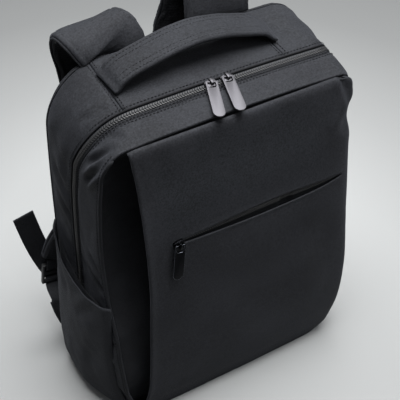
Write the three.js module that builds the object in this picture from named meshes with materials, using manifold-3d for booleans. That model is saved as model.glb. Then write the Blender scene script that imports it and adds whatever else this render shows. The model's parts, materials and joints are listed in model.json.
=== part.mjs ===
// Laptop backpack: a soft box of sewn panels, with a carrying handle, two padded shoulder
// straps, a zip that arches over the top, a front pocket entered from the left side, a
// zip across the front panel and an open pocket on each side.
// Millimetres. +X is the bag's right as seen from the front, -Y the front, +Z up.
// The origin is the middle of the base, on the surface that the bag stands on.
import * as THREE from 'three';
import { mergeVertices } from 'three/addons/utils/BufferGeometryUtils.js';
import Module from 'manifold-3d';

const wasm = await Module();
wasm.setup();

// Body
const bodyWidth = 306;       // across the widest part, low on the sides
const bodyHeight = 385;      // base to the top of the back seam
const backSeamY = 58;        // origin back to the seam round the back panel
const baseFrontY = 66;       // origin forward to the front edge of the base
const topCornerRadius = 58;  // upper left corner, in the front view
const rightCornerRadius = 34; // upper right corner, which stands up squarer
const baseCornerRadius = 20; // lower corners, in the front view
const shoulderSwell = 20;    // how far the upper right side stands out at the back
const topCrown = 4;          // how far the top falls from the middle to the sides
const clothThickness = 2;
const baseThickness = 2.6;
const backPadThickness = 9;
const seamGap = 0.3;         // between pieces that are sewn together
const liningGap = 0.9;       // round a piece that hangs free inside another
const bodyDepth = backSeamY + baseFrontY;

// Zips
const zipBand = 12;          // visible width of the main zip
const frontZipHeight = 243;  // base to the zip across the front panel
const frontZipStart = -81;   // left end of its slit
const frontZipEnd = 128;     // right end of its slit
const slitWidth = 5.2;
const chainWidth = 4.4;
const chainThickness = 2.2;
const chainSink = 0.5;       // chain behind the front panel's face
const tapeWidth = 22;
const tapeThickness = 1;

// Sliders and pull tabs
const sliderLength = 12;
const sliderWidth = 9;
const sliderThickness = 3;
const crownWidth = 2.6;      // along the zip
const crownReach = 6.6;      // across the zip, over both posts
const crownPost = 1.4;
const crownGap = 2.8;        // clear height under the crown
const tabWidth = 12;
const tabLength = 45;        // pivot to the round end
const frontTabLength = 40;
const tabThickness = 1.6;
const tabBar = 1.7;          // the bar that passes under the crown
const eyeLength = 7;
const eyeWidth = 8;
const mainSliderXs = [-3.5, 15.2];
const mainTabYaws = [-20, -14]; // degrees that each tab leans towards the left
const mainTabPitch = 1.5;       // degrees that the tabs dip from the cloth beside the zip
const frontTabYaw = -8;
const frontTabPitch = 0;

// Side pockets
const pocketHeight = 207;    // base to the high back end of the pocket's rim
const pocketBulge = 10;      // how far the rim stands off the side

// Handle
const handleSpan = 186;
const handleWidth = 37;
const handleThickness = 8;
const handleRise = 21;
const handleY = 18;

// Shoulder straps
const strapWidth = 74;
const strapEndWidth = 35;
const strapThickness = 12;
const strapReach = 44;       // back seam to the middle of the hanging strap
const strapTwist = 0.08;     // how far the strap's outer edge falls, for each mm across
const strapRootDrop = 2.4;   // the straps' sewn ends below the top of the back seam
const leftLoopRise = 19;     // crest of the left strap above its sewn end
const rightLoopRise = 41;
const webWidth = 25;
const webThickness = 1.6;
const tailLength = 69;       // how far the webbing's free end reaches past the ladder lock
const lockWidth = 33;
const lockHeight = 27;
const lockThickness = 4.6;
const lockBar = 4.2;
const anchorSize = 26;
const anchorHeight = 46;     // base to the foot of the tab that holds the webbing

// Depth is a share of bodyDepth from the back seam to the front edge of the base. The
// other columns are shares of bodyHeight, bodyWidth and the two upper corners' radii.
const depthTable = [
  { depth: -0.05, top: 0.99, width: 0.99, corner: 1.05, rightCorner: 0.95 },
  { depth: 0.0, top: 1.0, width: 1.0, corner: 1.05, rightCorner: 0.95 },
  { depth: 0.2, top: 0.99, width: 1.0, corner: 1.04, rightCorner: 0.95 },
  { depth: 0.63, top: 0.965, width: 0.99, corner: 1.0, rightCorner: 0.74 },
  { depth: 0.82, top: 0.95, width: 0.985, corner: 0.75, rightCorner: 0.62 },
  { depth: 0.95, top: 0.937, width: 0.98, corner: 0.45, rightCorner: 0.5 },
  { depth: 1.12, top: 0.925, width: 0.972, corner: 0.4, rightCorner: 0.45 },
];

// Shares of bodyWidth at shares of bodyHeight: the sides swell a little, low down.
const heightTable = [
  { height: 0, width: 0.95 },
  { height: 0.04, width: 0.99 },
  { height: 0.14, width: 1.0 },
  { height: 0.26, width: 0.985 },
  { height: 0.45, width: 0.955 },
  { height: 0.6, width: 0.95 },
  { height: 0.75, width: 0.94 },
  { height: 0.88, width: 0.925 },
  { height: 1, width: 0.905 },
];

// How far the lower front corners are drawn in, as a share of their distance from the
// middle, and how much of that each depth has.
const toeTable = [
  { height: 0, tuck: 0.13 },
  { height: 0.06, tuck: 0.11 },
  { height: 0.14, tuck: 0.062 },
  { height: 0.3, tuck: 0.012 },
  { height: 0.45, tuck: 0 },
];
const toeDepths = [
  { depth: 0.5, part: 0 },
  { depth: 0.8, part: 0.45 },
  { depth: 1.0, part: 1 },
];

// Seam lines round the body. "along" counts the stretches of the outline: 0 to 1 the base,
// 1 to 2 the lower corner, 2 to 3 the side, 3 to 4 the upper corner, 4 to 5 the top.
// zip and edge are shares of bodyDepth in front of the origin.
const seamTable = [
  { along: 0, zip: -0.08, edge: 0.53 },
  { along: 1.6, zip: -0.08, edge: 0.535 },
  { along: 2.0, zip: -0.085, edge: 0.56 },
  { along: 2.18, zip: -0.09, edge: 0.605 },
  { along: 2.32, zip: -0.09, edge: 0.575 },
  { along: 2.46, zip: -0.095, edge: 0.46 },
  { along: 2.58, zip: -0.095, edge: 0.405 },
  { along: 2.74, zip: -0.085, edge: 0.375 },
  { along: 2.88, zip: -0.065, edge: 0.39 },
  { along: 3.0, zip: -0.02, edge: 0.43 },
  { along: 3.5, zip: 0.1, edge: 0.475 },
  { along: 4.0, zip: 0.155, edge: 0.485 },
  { along: 5.0, zip: 0.16, edge: 0.485 },
];

// Front panel: how far it stands in front of the origin, as a share of bodyDepth, and its
// free left edge, as a share of bodyWidth from the middle.
const faceTable = [
  { height: 0, face: 0.55, left: -0.425 },
  { height: 0.035, face: 0.59, left: -0.407 },
  { height: 0.08, face: 0.63, left: -0.39 },
  { height: 0.16, face: 0.66, left: -0.376 },
  { height: 0.35, face: 0.68, left: -0.367 },
  { height: 0.52, face: 0.67, left: -0.357 },
  { height: 0.72, face: 0.62, left: -0.358 },
  { height: 0.85, face: 0.56, left: -0.364 },
  { height: 0.94, face: 0.515, left: -0.375 },
];

// Rim of the side pocket: depth as a share of the pocket from back to front, and its
// height as a share of pocketHeight.
const rimTable = [
  { depth: 0, rim: 1.0 },
  { depth: 0.2, rim: 0.92 },
  { depth: 0.42, rim: 0.855 },
  { depth: 0.68, rim: 0.815 },
  { depth: 1, rim: 0.825 },
];

// Handle: across is a share of handleSpan, rise a share of handleRise.
const handleTable = [
  { across: -0.5, rise: 0 },
  { across: -0.468, rise: 0.02 },
  { across: -0.44, rise: 0.2 },
  { across: -0.38, rise: 0.44 },
  { across: -0.26, rise: 0.66 },
  { across: -0.1, rise: 0.92 },
  { across: 0.03, rise: 1 },
  { across: 0.16, rise: 0.88 },
  { across: 0.3, rise: 0.6 },
  { across: 0.41, rise: 0.34 },
  { across: 0.452, rise: 0.1 },
  { across: 0.48, rise: 0.01 },
  { across: 0.5, rise: 0 },
];

// Shoulder strap from the back seam to its crest. left and right are shares of half the
// body's width, reach a share of strapReach behind the back seam, rise a share of the
// loop's rise, thick a share of strapThickness.
const crestTable = [
  { left: 0.415, right: 0.385, reach: 0.045, rise: 0, thick: 0.27 },
  { left: 0.415, right: 0.385, reach: 0.1, rise: 0.3, thick: 0.6 },
  { left: 0.45, right: 0.4, reach: 0.26, rise: 0.74, thick: 0.95 },
  { left: 0.48, right: 0.4, reach: 0.48, rise: 1, thick: 1 },
  { left: 0.5, right: 0.37, reach: 0.74, rise: 0.93, thick: 1 },
];

// Shoulder strap after its crest: columns as above, with height a share of bodyHeight,
// and taper from strapWidth (0) to strapEndWidth (1).
const strapTable = [
  { left: 0.485, right: 0.32, reach: 0.95, height: 0.995, taper: 0 },
  { left: 0.45, right: 0.29, reach: 1.04, height: 0.93, taper: 0 },
  { left: 0.43, right: 0.295, reach: 1.08, height: 0.84, taper: 0.05 },
  { left: 0.435, right: 0.34, reach: 1.08, height: 0.74, taper: 0.2 },
  { left: 0.47, right: 0.42, reach: 1.06, height: 0.64, taper: 0.45 },
  { left: 0.535, right: 0.52, reach: 1.03, height: 0.55, taper: 0.75 },
  { left: 0.61, right: 0.61, reach: 1.0, height: 0.47, taper: 0.95 },
  { left: 0.74, right: 0.74, reach: 0.99, height: 0.39, taper: 1 },
  { left: 0.84, right: 0.84, reach: 0.98, height: 0.338, taper: 1 },
  { left: 0.887, right: 0.887, reach: 0.97, height: 0.297, taper: 1 },
];

const cloth = { color: 0x2b2c30, roughness: 0.85, metalness: 0 };
const darkCloth = { color: 0x1a1b1e, roughness: 0.9, metalness: 0 };
const webbingFinish = { color: 0x202124, roughness: 0.8, metalness: 0 };
const zipFinish = { color: 0x18191b, roughness: 0.6, metalness: 0 };
const gunmetal = { color: 0x9a9ca1, roughness: 0.3, metalness: 1 };
const darkMetal = { color: 0x2a2b2e, roughness: 0.25, metalness: 1 };
const plastic = { color: 0x151619, roughness: 0.5, metalness: 0 };

// Smooth value of a table's column, with no overshoot between its rows.
function valueAt(rows, key, column, at) {
  const last = rows.length - 1;
  const slope = (i) => (rows[i + 1][column] - rows[i][column]) / (rows[i + 1][key] - rows[i][key]);
  const tangent = (i) => {
    if (i === 0) return slope(0);
    if (i === last) return slope(last - 1);
    const [before, after] = [slope(i - 1), slope(i)];
    return before * after <= 0 ? 0 : (2 * before * after) / (before + after);
  };
  if (at <= rows[0][key]) return rows[0][column];
  if (at >= rows[last][key]) return rows[last][column];
  const i = rows.findIndex((row, n) => n < last && at < rows[n + 1][key]);
  const width = rows[i + 1][key] - rows[i][key];
  const t = (at - rows[i][key]) / width;
  const start = rows[i][column] * (1 + 2 * t) * (1 - t) ** 2 + tangent(i) * width * t * (1 - t) ** 2;
  const end = rows[i + 1][column] * (3 - 2 * t) * t ** 2 - tangent(i + 1) * width * (1 - t) * t ** 2;
  return start + end;
}

function geometryOf(positions, indices) {
  const geometry = new THREE.BufferGeometry();
  geometry.setAttribute('position', new THREE.Float32BufferAttribute(positions, 3));
  geometry.setIndex(indices);
  return geometry;
}

// A body whose triangles all face out: the order is turned round where the volume says so.
function facingOut(points, triangles) {
  let volume = 0;
  for (const [a, b, c] of triangles) volume += points[a].dot(points[b].clone().cross(points[c]));
  const indices = triangles.flatMap(([a, b, c]) => (volume < 0 ? [a, c, b] : [a, b, c]));
  return geometryOf(points.flatMap((point) => point.toArray()), indices);
}

// A sheet with thickness: two grids of points joined round their four edges.
function sheetBetween(outer, inner) {
  const rows = outer.length;
  const columns = outer[0].length;
  const points = [...outer.flat(), ...inner.flat()];
  const at = (i, j, side) => side * rows * columns + i * columns + j;
  const triangles = [];
  const quad = (a, b, c, d) => triangles.push([a, b, c], [a, c, d]);
  for (let i = 0; i < rows - 1; i++) {
    for (let j = 0; j < columns - 1; j++) {
      quad(at(i, j, 0), at(i + 1, j, 0), at(i + 1, j + 1, 0), at(i, j + 1, 0));
      quad(at(i, j, 1), at(i, j + 1, 1), at(i + 1, j + 1, 1), at(i + 1, j, 1));
    }
    quad(at(i, 0, 0), at(i, 0, 1), at(i + 1, 0, 1), at(i + 1, 0, 0));
    const j = columns - 1;
    quad(at(i, j, 0), at(i + 1, j, 0), at(i + 1, j, 1), at(i, j, 1));
  }
  for (let j = 0; j < columns - 1; j++) {
    const i = rows - 1;
    quad(at(0, j, 0), at(0, j + 1, 0), at(0, j + 1, 1), at(0, j, 1));
    quad(at(i, j, 0), at(i, j, 1), at(i, j + 1, 1), at(i, j + 1, 0));
  }
  return facingOut(points, triangles);
}

// A body through rings of points, closed by a fan at each end.
function loftThrough(rings) {
  const count = rings[0].length;
  const points = rings.flat();
  const triangles = [];
  for (let i = 0; i < rings.length - 1; i++) {
    for (let j = 0; j < count; j++) {
      const [a, b] = [i * count + j, i * count + ((j + 1) % count)];
      triangles.push([a, b, b + count], [a, b + count, a + count]);
    }
  }
  for (const [ring, turn] of [[0, 1], [rings.length - 1, 0]]) {
    const middle = new THREE.Vector3();
    rings[ring].forEach((point) => middle.addScaledVector(point, 1 / count));
    const centre = points.push(middle) - 1;
    for (let j = 0; j < count; j++) {
      const [a, b] = [ring * count + j, ring * count + ((j + 1) % count)];
      triangles.push(turn ? [centre, b, a] : [centre, a, b]);
    }
  }
  return facingOut(points, triangles);
}

function solidOf(geometry) {
  const bare = geometry.clone();
  ['normal', 'uv'].forEach((name) => bare.deleteAttribute(name));
  const merged = mergeVertices(bare.index ? bare : mergeVertices(bare), 1e-4);
  const mesh = new wasm.Mesh({
    numProp: 3,
    vertProperties: Float32Array.from(merged.attributes.position.array),
    triVerts: Uint32Array.from(merged.index.array),
  });
  return new wasm.Manifold(mesh);
}

function geometryFrom(solid) {
  const { vertProperties, triVerts } = solid.getMesh();
  return geometryOf(Array.from(vertProperties), Array.from(triVerts));
}

const model = new THREE.Group();
model.name = 'laptop_backpack';

function addPiece(name, geometry, finish, parent = model) {
  const mesh = new THREE.Mesh(geometry, new THREE.MeshStandardMaterial(finish));
  mesh.name = name;
  parent.add(mesh);
  return mesh;
}

// One half of the body's outline at depth y: across and up at "along", 0 to 5.
function halfOutline(along, y, right = false) {
  const depth = (backSeamY - y) / bodyDepth;
  const top = bodyHeight * valueAt(depthTable, 'depth', 'top', depth);
  const corner = right
    ? rightCornerRadius * valueAt(depthTable, 'depth', 'rightCorner', depth)
    : topCornerRadius * valueAt(depthTable, 'depth', 'corner', depth);
  const half = bodyWidth / 2;
  const stretch = Math.min(4, Math.floor(along));
  const share = along - stretch;
  const turn = (share * Math.PI) / 2;
  const [x, z] = [
    () => [(half - baseCornerRadius) * share, 0],
    () => [half - baseCornerRadius * (1 - Math.sin(turn)), baseCornerRadius * (1 - Math.cos(turn))],
    () => [half, baseCornerRadius + (top - corner - baseCornerRadius) * share],
    () => [half - corner * (1 - Math.cos(turn)), top - corner * (1 - Math.sin(turn))],
    () => [(half - corner) * (1 - share), top],
  ][stretch]();
  const height = z / bodyHeight;
  const swell = valueAt(depthTable, 'depth', 'width', depth) * valueAt(heightTable, 'height', 'width', height);
  const tuck = valueAt(toeTable, 'height', 'tuck', height) * valueAt(toeDepths, 'depth', 'part', depth);
  const high = (x / half) ** 2 * (z / top) ** 6;
  const shoulder = right ? shoulderSwell * high * Math.max(0, 1 - depth) ** 0.5 : 0;
  return [x * swell * (1 - tuck) + shoulder, z - topCrown * high];
}

// The whole outline runs from 0 at the middle of the base, up the right side, over the top
// at 5 and down the left side to 10.
function bodyPoint(along, y) {
  const lap = ((along % 10) + 10) % 10;
  if (lap > 5) {
    const [across, up] = halfOutline(10 - lap, y);
    return new THREE.Vector3(-across, y, up);
  }
  const [across, up] = halfOutline(lap, y, true);
  return new THREE.Vector3(across, y, up);
}

function bodyNormal(along, y) {
  const step = 0.01;
  const round = bodyPoint(along + step, y).sub(bodyPoint(along - step, y));
  const back = bodyPoint(along, y + 1).sub(bodyPoint(along, y - 1));
  return round.cross(back).normalize().negate();
}

// A point at a height above the body's outer surface, or inside it where lift is negative.
function bodyAt(along, y, lift) {
  return bodyPoint(along, y).addScaledVector(bodyNormal(along, y), lift);
}

function seamY(column, along) {
  const lap = ((along % 10) + 10) % 10;
  return -bodyDepth * valueAt(seamTable, 'along', column, lap <= 5 ? lap : 10 - lap);
}

// Where panels end round the outline.
const baseSeam = 1.55;
const topSeam = 3.9;         // on the left, and where the top starts to turn down on either side
const rightTopSeam = 4.27;   // on the right, beside the handle's end
const stretchSteps = [3, 5, 10, 6, 3];

// Steps round the outline, the same for all panels so that their edges run alike.
function stepsBetween(from, to) {
  const marks = [from, to];
  for (let lap = Math.floor(from) - 1; lap <= to; lap++) {
    const stretch = ((lap % 10) + 10) % 10;
    const count = stretchSteps[stretch < 5 ? stretch : 9 - stretch];
    for (let k = 0; k < count; k++) marks.push(lap + k / count);
  }
  marks.push(baseSeam, rightTopSeam, 10 - topSeam, 10 - baseSeam);
  const inside = marks.filter((mark) => mark >= from && mark <= to).sort((a, b) => a - b);
  return inside.filter((mark, n) => n === 0 || mark - inside[n - 1] > 1e-3);
}

// Across, at a height, the left side of the surface that lies a lift off the body.
function leftAt(height, y, lift = 0) {
  let [low, high] = [1, 5];
  for (let round = 0; round < 24; round++) {
    const middle = (low + high) / 2;
    if (bodyAt(10 - middle, y, lift).z < height) low = middle;
    else high = middle;
  }
  return bodyAt(10 - low, y, lift).x;
}

// The share of the outline that a length covers at one place.
function alongFor(length, along, y) {
  return (length * 0.02) / bodyPoint(along + 0.01, y).distanceTo(bodyPoint(along - 0.01, y));
}

// A panel of the body between two places of the outline and two seam lines.
function bodyPanel(from, to, backLine, frontLine, depthSteps, thickness) {
  const steps = stepsBetween(from, to);
  const layer = (lift) => steps.map((along) => Array.from({ length: depthSteps + 1 }, (_, j) => {
    const y = THREE.MathUtils.lerp(backLine(along), frontLine(along), j / depthSteps);
    return bodyAt(along, y, lift);
  }));
  return sheetBetween(layer(0), layer(-thickness));
}

const backLine = () => backSeamY;
const zipBackLine = (along) => seamY('zip', along);
const zipFrontLine = (along) => zipBackLine(along) - zipBand;
const edgeLine = (along) => seamY('edge', along);
const inFrontOf = (line) => (along) => line(along) - seamGap;

function buildBody() {
  const gapAtBase = alongFor(seamGap, baseSeam, 0);
  const gapAtTop = alongFor(seamGap, rightTopSeam, 0);
  const base = bodyPanel(-baseSeam, baseSeam, backLine, edgeLine, 4, baseThickness);
  addPiece('base_panel', base, darkCloth);
  const panels = [
    ['side_panel_right', baseSeam + gapAtBase, rightTopSeam],
    ['top_panel', rightTopSeam + gapAtTop, 10 - topSeam - gapAtTop],
    ['side_panel_left', 10 - topSeam, 10 - baseSeam - gapAtBase],
  ];
  for (const [name, from, to] of panels) {
    addPiece(name, bodyPanel(from, to, backLine, zipBackLine, 3, clothThickness), cloth);
  }
  const [start, end] = [baseSeam + gapAtBase, 10 - baseSeam - gapAtBase];
  const zip = bodyPanel(start, end, inFrontOf(zipBackLine), zipFrontLine, 1, clothThickness);
  addPiece('main_zip', zip, zipFinish);
  const gusset = bodyPanel(start, end, inFrontOf(zipFrontLine), edgeLine, 5, clothThickness);
  addPiece('front_gusset', gusset, cloth);
}

// Rows from the base to the top for panels that face forwards or back. Each row gives the
// outline's point at "along" and spans the body from left to right.
const rowSteps = stepsBetween(1, 4);

// Shares of the width at which the back pad is drawn, from the middle to either side.
const padShares = [-1, -0.96, -0.88, -0.6, -0.25, 0.25, 0.6, 0.88, 0.96, 1];
const padInset = 0.6;        // the back panel's rim inside the body's outline
const padSoftness = 0.35;    // how slowly the pad thickens from its foot and its top
const padSquareness = 8;     // how straight it runs across

function buildBackPanel() {
  const layer = (pad) => rowSteps.map((along, n) => padShares.map((share) => {
    const edge = bodyAt(along, backSeamY, -padInset);
    const side = share < 0 ? -leftAt(edge.z, backSeamY, -padInset) : edge.x;
    const rise = Math.sin((Math.PI * n) / (rowSteps.length - 1)) ** padSoftness;
    const crown = Math.max(0, 1 - Math.abs(share) ** padSquareness) ** 0.5 * rise;
    return new THREE.Vector3(side * share, backSeamY + seamGap + pad(crown), edge.z);
  }));
  const outer = layer((crown) => clothThickness + (backPadThickness - clothThickness) * crown);
  addPiece('back_panel', sheetBetween(outer, layer(() => 0)), darkCloth);
}

// The wall behind the front pocket. It stands inside the gusset, a little behind its edge.
const wallSetback = 8;
const wallShares = [-1, -0.5, 0, 0.5, 1];

function buildFrontWall() {
  const lift = -clothThickness - 2 * liningGap;
  const layer = (depth) => rowSteps.map((along) => wallShares.map((share) => {
    const y = edgeLine(along) + wallSetback;
    const edge = bodyAt(along, y, lift);
    const side = share < 0 ? -leftAt(edge.z, y, lift) : edge.x;
    return new THREE.Vector3(side * share, y + depth, edge.z);
  }));
  addPiece('front_wall', sheetBetween(layer(0), layer(clothThickness)), darkCloth);
}

// The front panel: nearly flat, turned back round its right side to the gusset's edge, and
// free along its left side.
const faceTurns = 9;
const faceSquareness = 6;
const faceShares = [1, 0.92, 0.7, 0.45, 0.2]; // of the way from the middle to the free edge
const faceBow = 0.03;        // how far the free edge falls back, as a share of the panel's depth
const faceClear = 1;         // least clearance of the free edge and of the panel's depth

function faceRow(along, sink) {
  const edge = bodyPoint(along, edgeLine(along));
  const height = edge.z / bodyHeight;
  const face = -bodyDepth * valueAt(faceTable, 'height', 'face', height);
  const depth = Math.max(edge.y - seamGap - face, clothThickness + faceClear) - sink;
  const left = bodyWidth * valueAt(faceTable, 'height', 'left', height);
  const right = edge.x - sink;
  const start = Math.max(left, leftAt(edge.z, edge.y) + faceClear);
  const row = [];
  for (const share of faceShares) {
    const x = start * share;
    row.push(new THREE.Vector3(x, edge.y - seamGap - depth * (1 - faceBow * share ** 2), edge.z));
  }
  for (let k = 0; k <= faceTurns; k++) {
    const turn = (k / faceTurns) * (Math.PI / 2);
    const x = right * Math.sin(turn) ** (2 / faceSquareness);
    const y = edge.y - seamGap - depth * Math.cos(turn) ** (2 / faceSquareness);
    row.push(new THREE.Vector3(x, k === faceTurns ? edge.y - seamGap : y, edge.z));
  }
  return row;
}

// Depth of the front panel's outer face at a place on it.
function faceY(x, z) {
  const rows = rowSteps.map((along) => faceRow(along, 0));
  const n = Math.max(0, rows.findIndex((row, i) => i < rows.length - 1 && z < rows[i + 1][0].z));
  const share = (z - rows[n][0].z) / (rows[n + 1][0].z - rows[n][0].z);
  const [low, high] = [rows[n], rows[n + 1]].map((row) => {
    const j = Math.max(0, row.findIndex((point, i) => i < row.length - 1 && x < row[i + 1].x));
    const t = (x - row[j].x) / (row[j + 1].x - row[j].x);
    return THREE.MathUtils.lerp(row[j].y, row[j + 1].y, t);
  });
  return THREE.MathUtils.lerp(low, high, share);
}

const stripSteps = 10;
const cutBeyond = 2;         // how far the slit's cut runs past both faces
const tapeBefore = 6;        // tape past the slit's left end
const tapeAfter = 4;         // and past its right end

// A strip that follows the front panel along its zip, between two depths behind the face.
function zipStrip(from, to, width, near, far) {
  const layer = (depth) => Array.from({ length: stripSteps + 1 }, (_, i) => [-0.5, 0.5].map((share) => {
    const x = THREE.MathUtils.lerp(from, to, i / stripSteps);
    const z = frontZipHeight + width * share;
    return new THREE.Vector3(x, faceY(x, z) + depth, z);
  }));
  return sheetBetween(layer(near), layer(far));
}

const faceRows = rowSteps.filter((along) => along > 1.15);

function buildFrontPanel() {
  const outer = faceRows.map((along) => faceRow(along, 0));
  const inner = faceRows.map((along) => faceRow(along, clothThickness));
  const whole = solidOf(sheetBetween(outer, inner));
  const cutTo = clothThickness + cutBeyond;
  const slit = solidOf(zipStrip(frontZipStart, frontZipEnd, slitWidth, -cutBeyond, cutTo));
  addPiece('front_panel', geometryFrom(whole.subtract(slit)), cloth);

  const [start, end] = [frontZipStart + seamGap, frontZipEnd - seamGap];
  const chain = solidOf(zipStrip(start, end, chainWidth, chainSink, chainSink + chainThickness));
  const behind = clothThickness + liningGap;
  const [tapeStart, tapeEnd] = [start - tapeBefore, end + tapeAfter];
  const tape = solidOf(zipStrip(tapeStart, tapeEnd, tapeWidth, behind, behind + tapeThickness));
  const [near, far] = [chainSink + chainThickness / 2, behind + tapeThickness / 2];
  const link = solidOf(zipStrip(start, end, chainWidth / 2, near, far));
  addPiece('front_zip', geometryFrom(chain.add(link).add(tape)), zipFinish);
}

// Open pockets on the sides, sewn down along the base and both ends, free along the rim.
const pocketFloor = 1.7;
const pocketEnds = 2.5;
const pocketGap = 1.4;       // the pocket's cloth off the body

const pocketFront = 2.4;     // place of the outline where the gusset's edge sets its front end
const pocketDepths = [0, 0.06, 0.2, 0.35, 0.5, 0.65, 0.8, 0.94, 1];
const pocketShares = [0, 0.12, 0.3, 0.5, 0.7, 0.86, 1];
const pocketFullness = { across: 0.8, up: 0.7 };

function buildSidePocket(name, right) {
  const frontEnd = seamY('edge', pocketFront) + pocketEnds;
  const layer = (thickness) => pocketDepths.map((depth) => pocketShares.map((share) => {
    const y = THREE.MathUtils.lerp(backSeamY - pocketEnds, frontEnd, depth);
    const [foot, head] = [2, 3].map((along) => halfOutline(along, y, right)[1]);
    const rim = pocketHeight * valueAt(rimTable, 'depth', 'rim', depth);
    const along = THREE.MathUtils.lerp(pocketFloor, 2 + (rim - foot) / (head - foot), share);
    const full = Math.sin(Math.PI * depth) ** pocketFullness.across * share ** pocketFullness.up;
    const stand = pocketBulge * full;
    return bodyAt(right ? along : 10 - along, y, pocketGap + stand + thickness);
  }));
  addPiece(name, sheetBetween(layer(clothThickness), layer(0)), cloth);
}

// The same shape on the other side of the body, still facing out.
function mirrored(geometry) {
  const points = [];
  const { position } = geometry.attributes;
  for (let i = 0; i < position.count; i++) {
    points.push(new THREE.Vector3(-position.getX(i), position.getY(i), position.getZ(i)));
  }
  const order = geometry.index ? Array.from(geometry.index.array) : points.map((point, n) => n);
  const triangles = [];
  for (let i = 0; i < order.length; i += 3) triangles.push(order.slice(i, i + 3));
  return facingOut(points, triangles);
}

// A padded band: rounded sections at points of a path, each with its width's direction. A
// level section keeps that direction, and any other stands square to the path.
const bandSides = 12;
const bandSquareness = { wide: 0.35, deep: 0.55 };

function bandAlong(stations) {
  const rings = stations.map((station, n) => {
    const before = stations[Math.max(0, n - 1)].at;
    const after = stations[Math.min(stations.length - 1, n + 1)].at;
    const forward = after.clone().sub(before).normalize();
    const across = station.across.clone();
    if (!station.level) across.addScaledVector(forward, -across.dot(forward));
    across.normalize();
    const up = forward.clone().cross(across).normalize();
    return Array.from({ length: bandSides }, (_, k) => {
      const turn = ((k + 0.5) / bandSides) * Math.PI * 2;
      const wide = Math.sign(Math.cos(turn)) * Math.abs(Math.cos(turn)) ** bandSquareness.wide;
      const deep = Math.sign(Math.sin(turn)) * Math.abs(Math.sin(turn)) ** bandSquareness.deep;
      return station.at.clone()
        .addScaledVector(across, (wide * station.width) / 2)
        .addScaledVector(up, (deep * station.thickness) / 2);
    });
  });
  return loftThrough(rings);
}

const handleLift = 0.1;      // under the handle's sewn ends, besides the seam's gap
const footShare = 0.75;      // thickness of the sewn ends, as a share of the handle's
const endShare = 0.5;        // the same at their very ends
const footSpan = 0.45;       // where they start, as a share of handleSpan
const handleSteps = 26;

function buildHandle() {
  const [before, behind] = [handleY - handleWidth / 2, handleY + handleWidth / 2];
  const across = bodyPoint(5, behind).sub(bodyPoint(5, before)).normalize();
  const points = handleTable.map((row) => {
    const x = row.across * handleSpan;
    const along = 5 - x / halfOutline(4, handleY, x > 0)[0];
    const level = bodyPoint(THREE.MathUtils.clamp(along, topSeam, 10 - topSeam), handleY).z;
    const thickness = handleThickness * (Math.abs(row.across) > footSpan ? footShare : 1);
    const z = level + seamGap + handleLift + thickness / 2 + row.rise * handleRise;
    return new THREE.Vector3(x, handleY, z);
  });
  const path = new THREE.CatmullRomCurve3(points, false, 'centripetal').getSpacedPoints(handleSteps);
  const stations = path.map((at, n) => {
    const share = [endShare, footShare][Math.min(n, handleSteps - n)] ?? 1;
    if (share === endShare) at.z -= (handleThickness * (footShare - endShare)) / 2;
    return { at, across, width: handleWidth, thickness: handleThickness * share };
  });
  addPiece('handle', bandAlong(stations), cloth);
}

// The padded strap: up from the back seam, over its crest, and down behind the back.
function strapStations(side, loopRise) {
  const half = bodyWidth / 2;
  const column = side < 0 ? 'left' : 'right';
  const rows = crestTable.map((row) => ({
    x: half * row[column],
    y: backSeamY + row.reach * strapReach,
    z: bodyHeight - strapRootDrop + row.rise * loopRise,
    thickness: strapThickness * row.thick,
    width: strapWidth,
  }));
  for (const row of strapTable) {
    rows.push({
      x: half * row[column],
      y: backSeamY + row.reach * strapReach,
      z: bodyHeight * row.height,
      thickness: strapThickness,
      width: THREE.MathUtils.lerp(strapWidth, strapEndWidth, row.taper),
    });
  }
  return rows.map((row, n) => ({
    at: new THREE.Vector3(side * row.x, row.y, row.z),
    across: new THREE.Vector3(1, 0, n < 2 || n === rows.length - 1 ? 0 : -side * strapTwist),
    level: n < 3 || n === rows.length - 1,
    width: row.width,
    thickness: row.thickness,
  }));
}

function buildStraps() {
  const sides = [['left', -1, leftLoopRise], ['right', 1, rightLoopRise]];
  for (const [name, side, loopRise] of sides) {
    addPiece(`shoulder_strap_${name}`, bandAlong(strapStations(side, loopRise)), darkCloth);
  }
}

// The binding along the gusset's free edge, down the left side of the front pocket's mouth.
const bindingSize = 3.2;
const bindingFrom = 1.95;
const bindingTo = 3.45;
const bindingGap = 0.7;      // in front of the gusset's edge

function buildMouthBinding() {
  const stations = stepsBetween(bindingFrom, bindingTo).map((along) => {
    const y = edgeLine(along) - bindingGap - bindingSize / 2;
    const [x, z] = halfOutline(along, edgeLine(along));
    const across = bodyNormal(10 - along, edgeLine(along));
    const at = new THREE.Vector3(-x, y, z).addScaledVector(across, -bindingSize / 2);
    return { at, across, width: bindingSize, thickness: bindingSize };
  });
  addPiece('mouth_binding', bandAlong(stations), darkCloth);
}

// Shares of a slider's half width and half length
const sliderTail = 0.62;     // its narrow end's width
const sliderNeck = 0.2;      // where it has narrowed from
const sliderRound = 0.8;     // where its nose starts to round
const crownSink = 0.4;       // the crown's feet inside the slider
const crownShoulder = 0.6;   // the crown's corners, as shares of crownPost and of half its reach
const crownFlat = 0.7;

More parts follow.
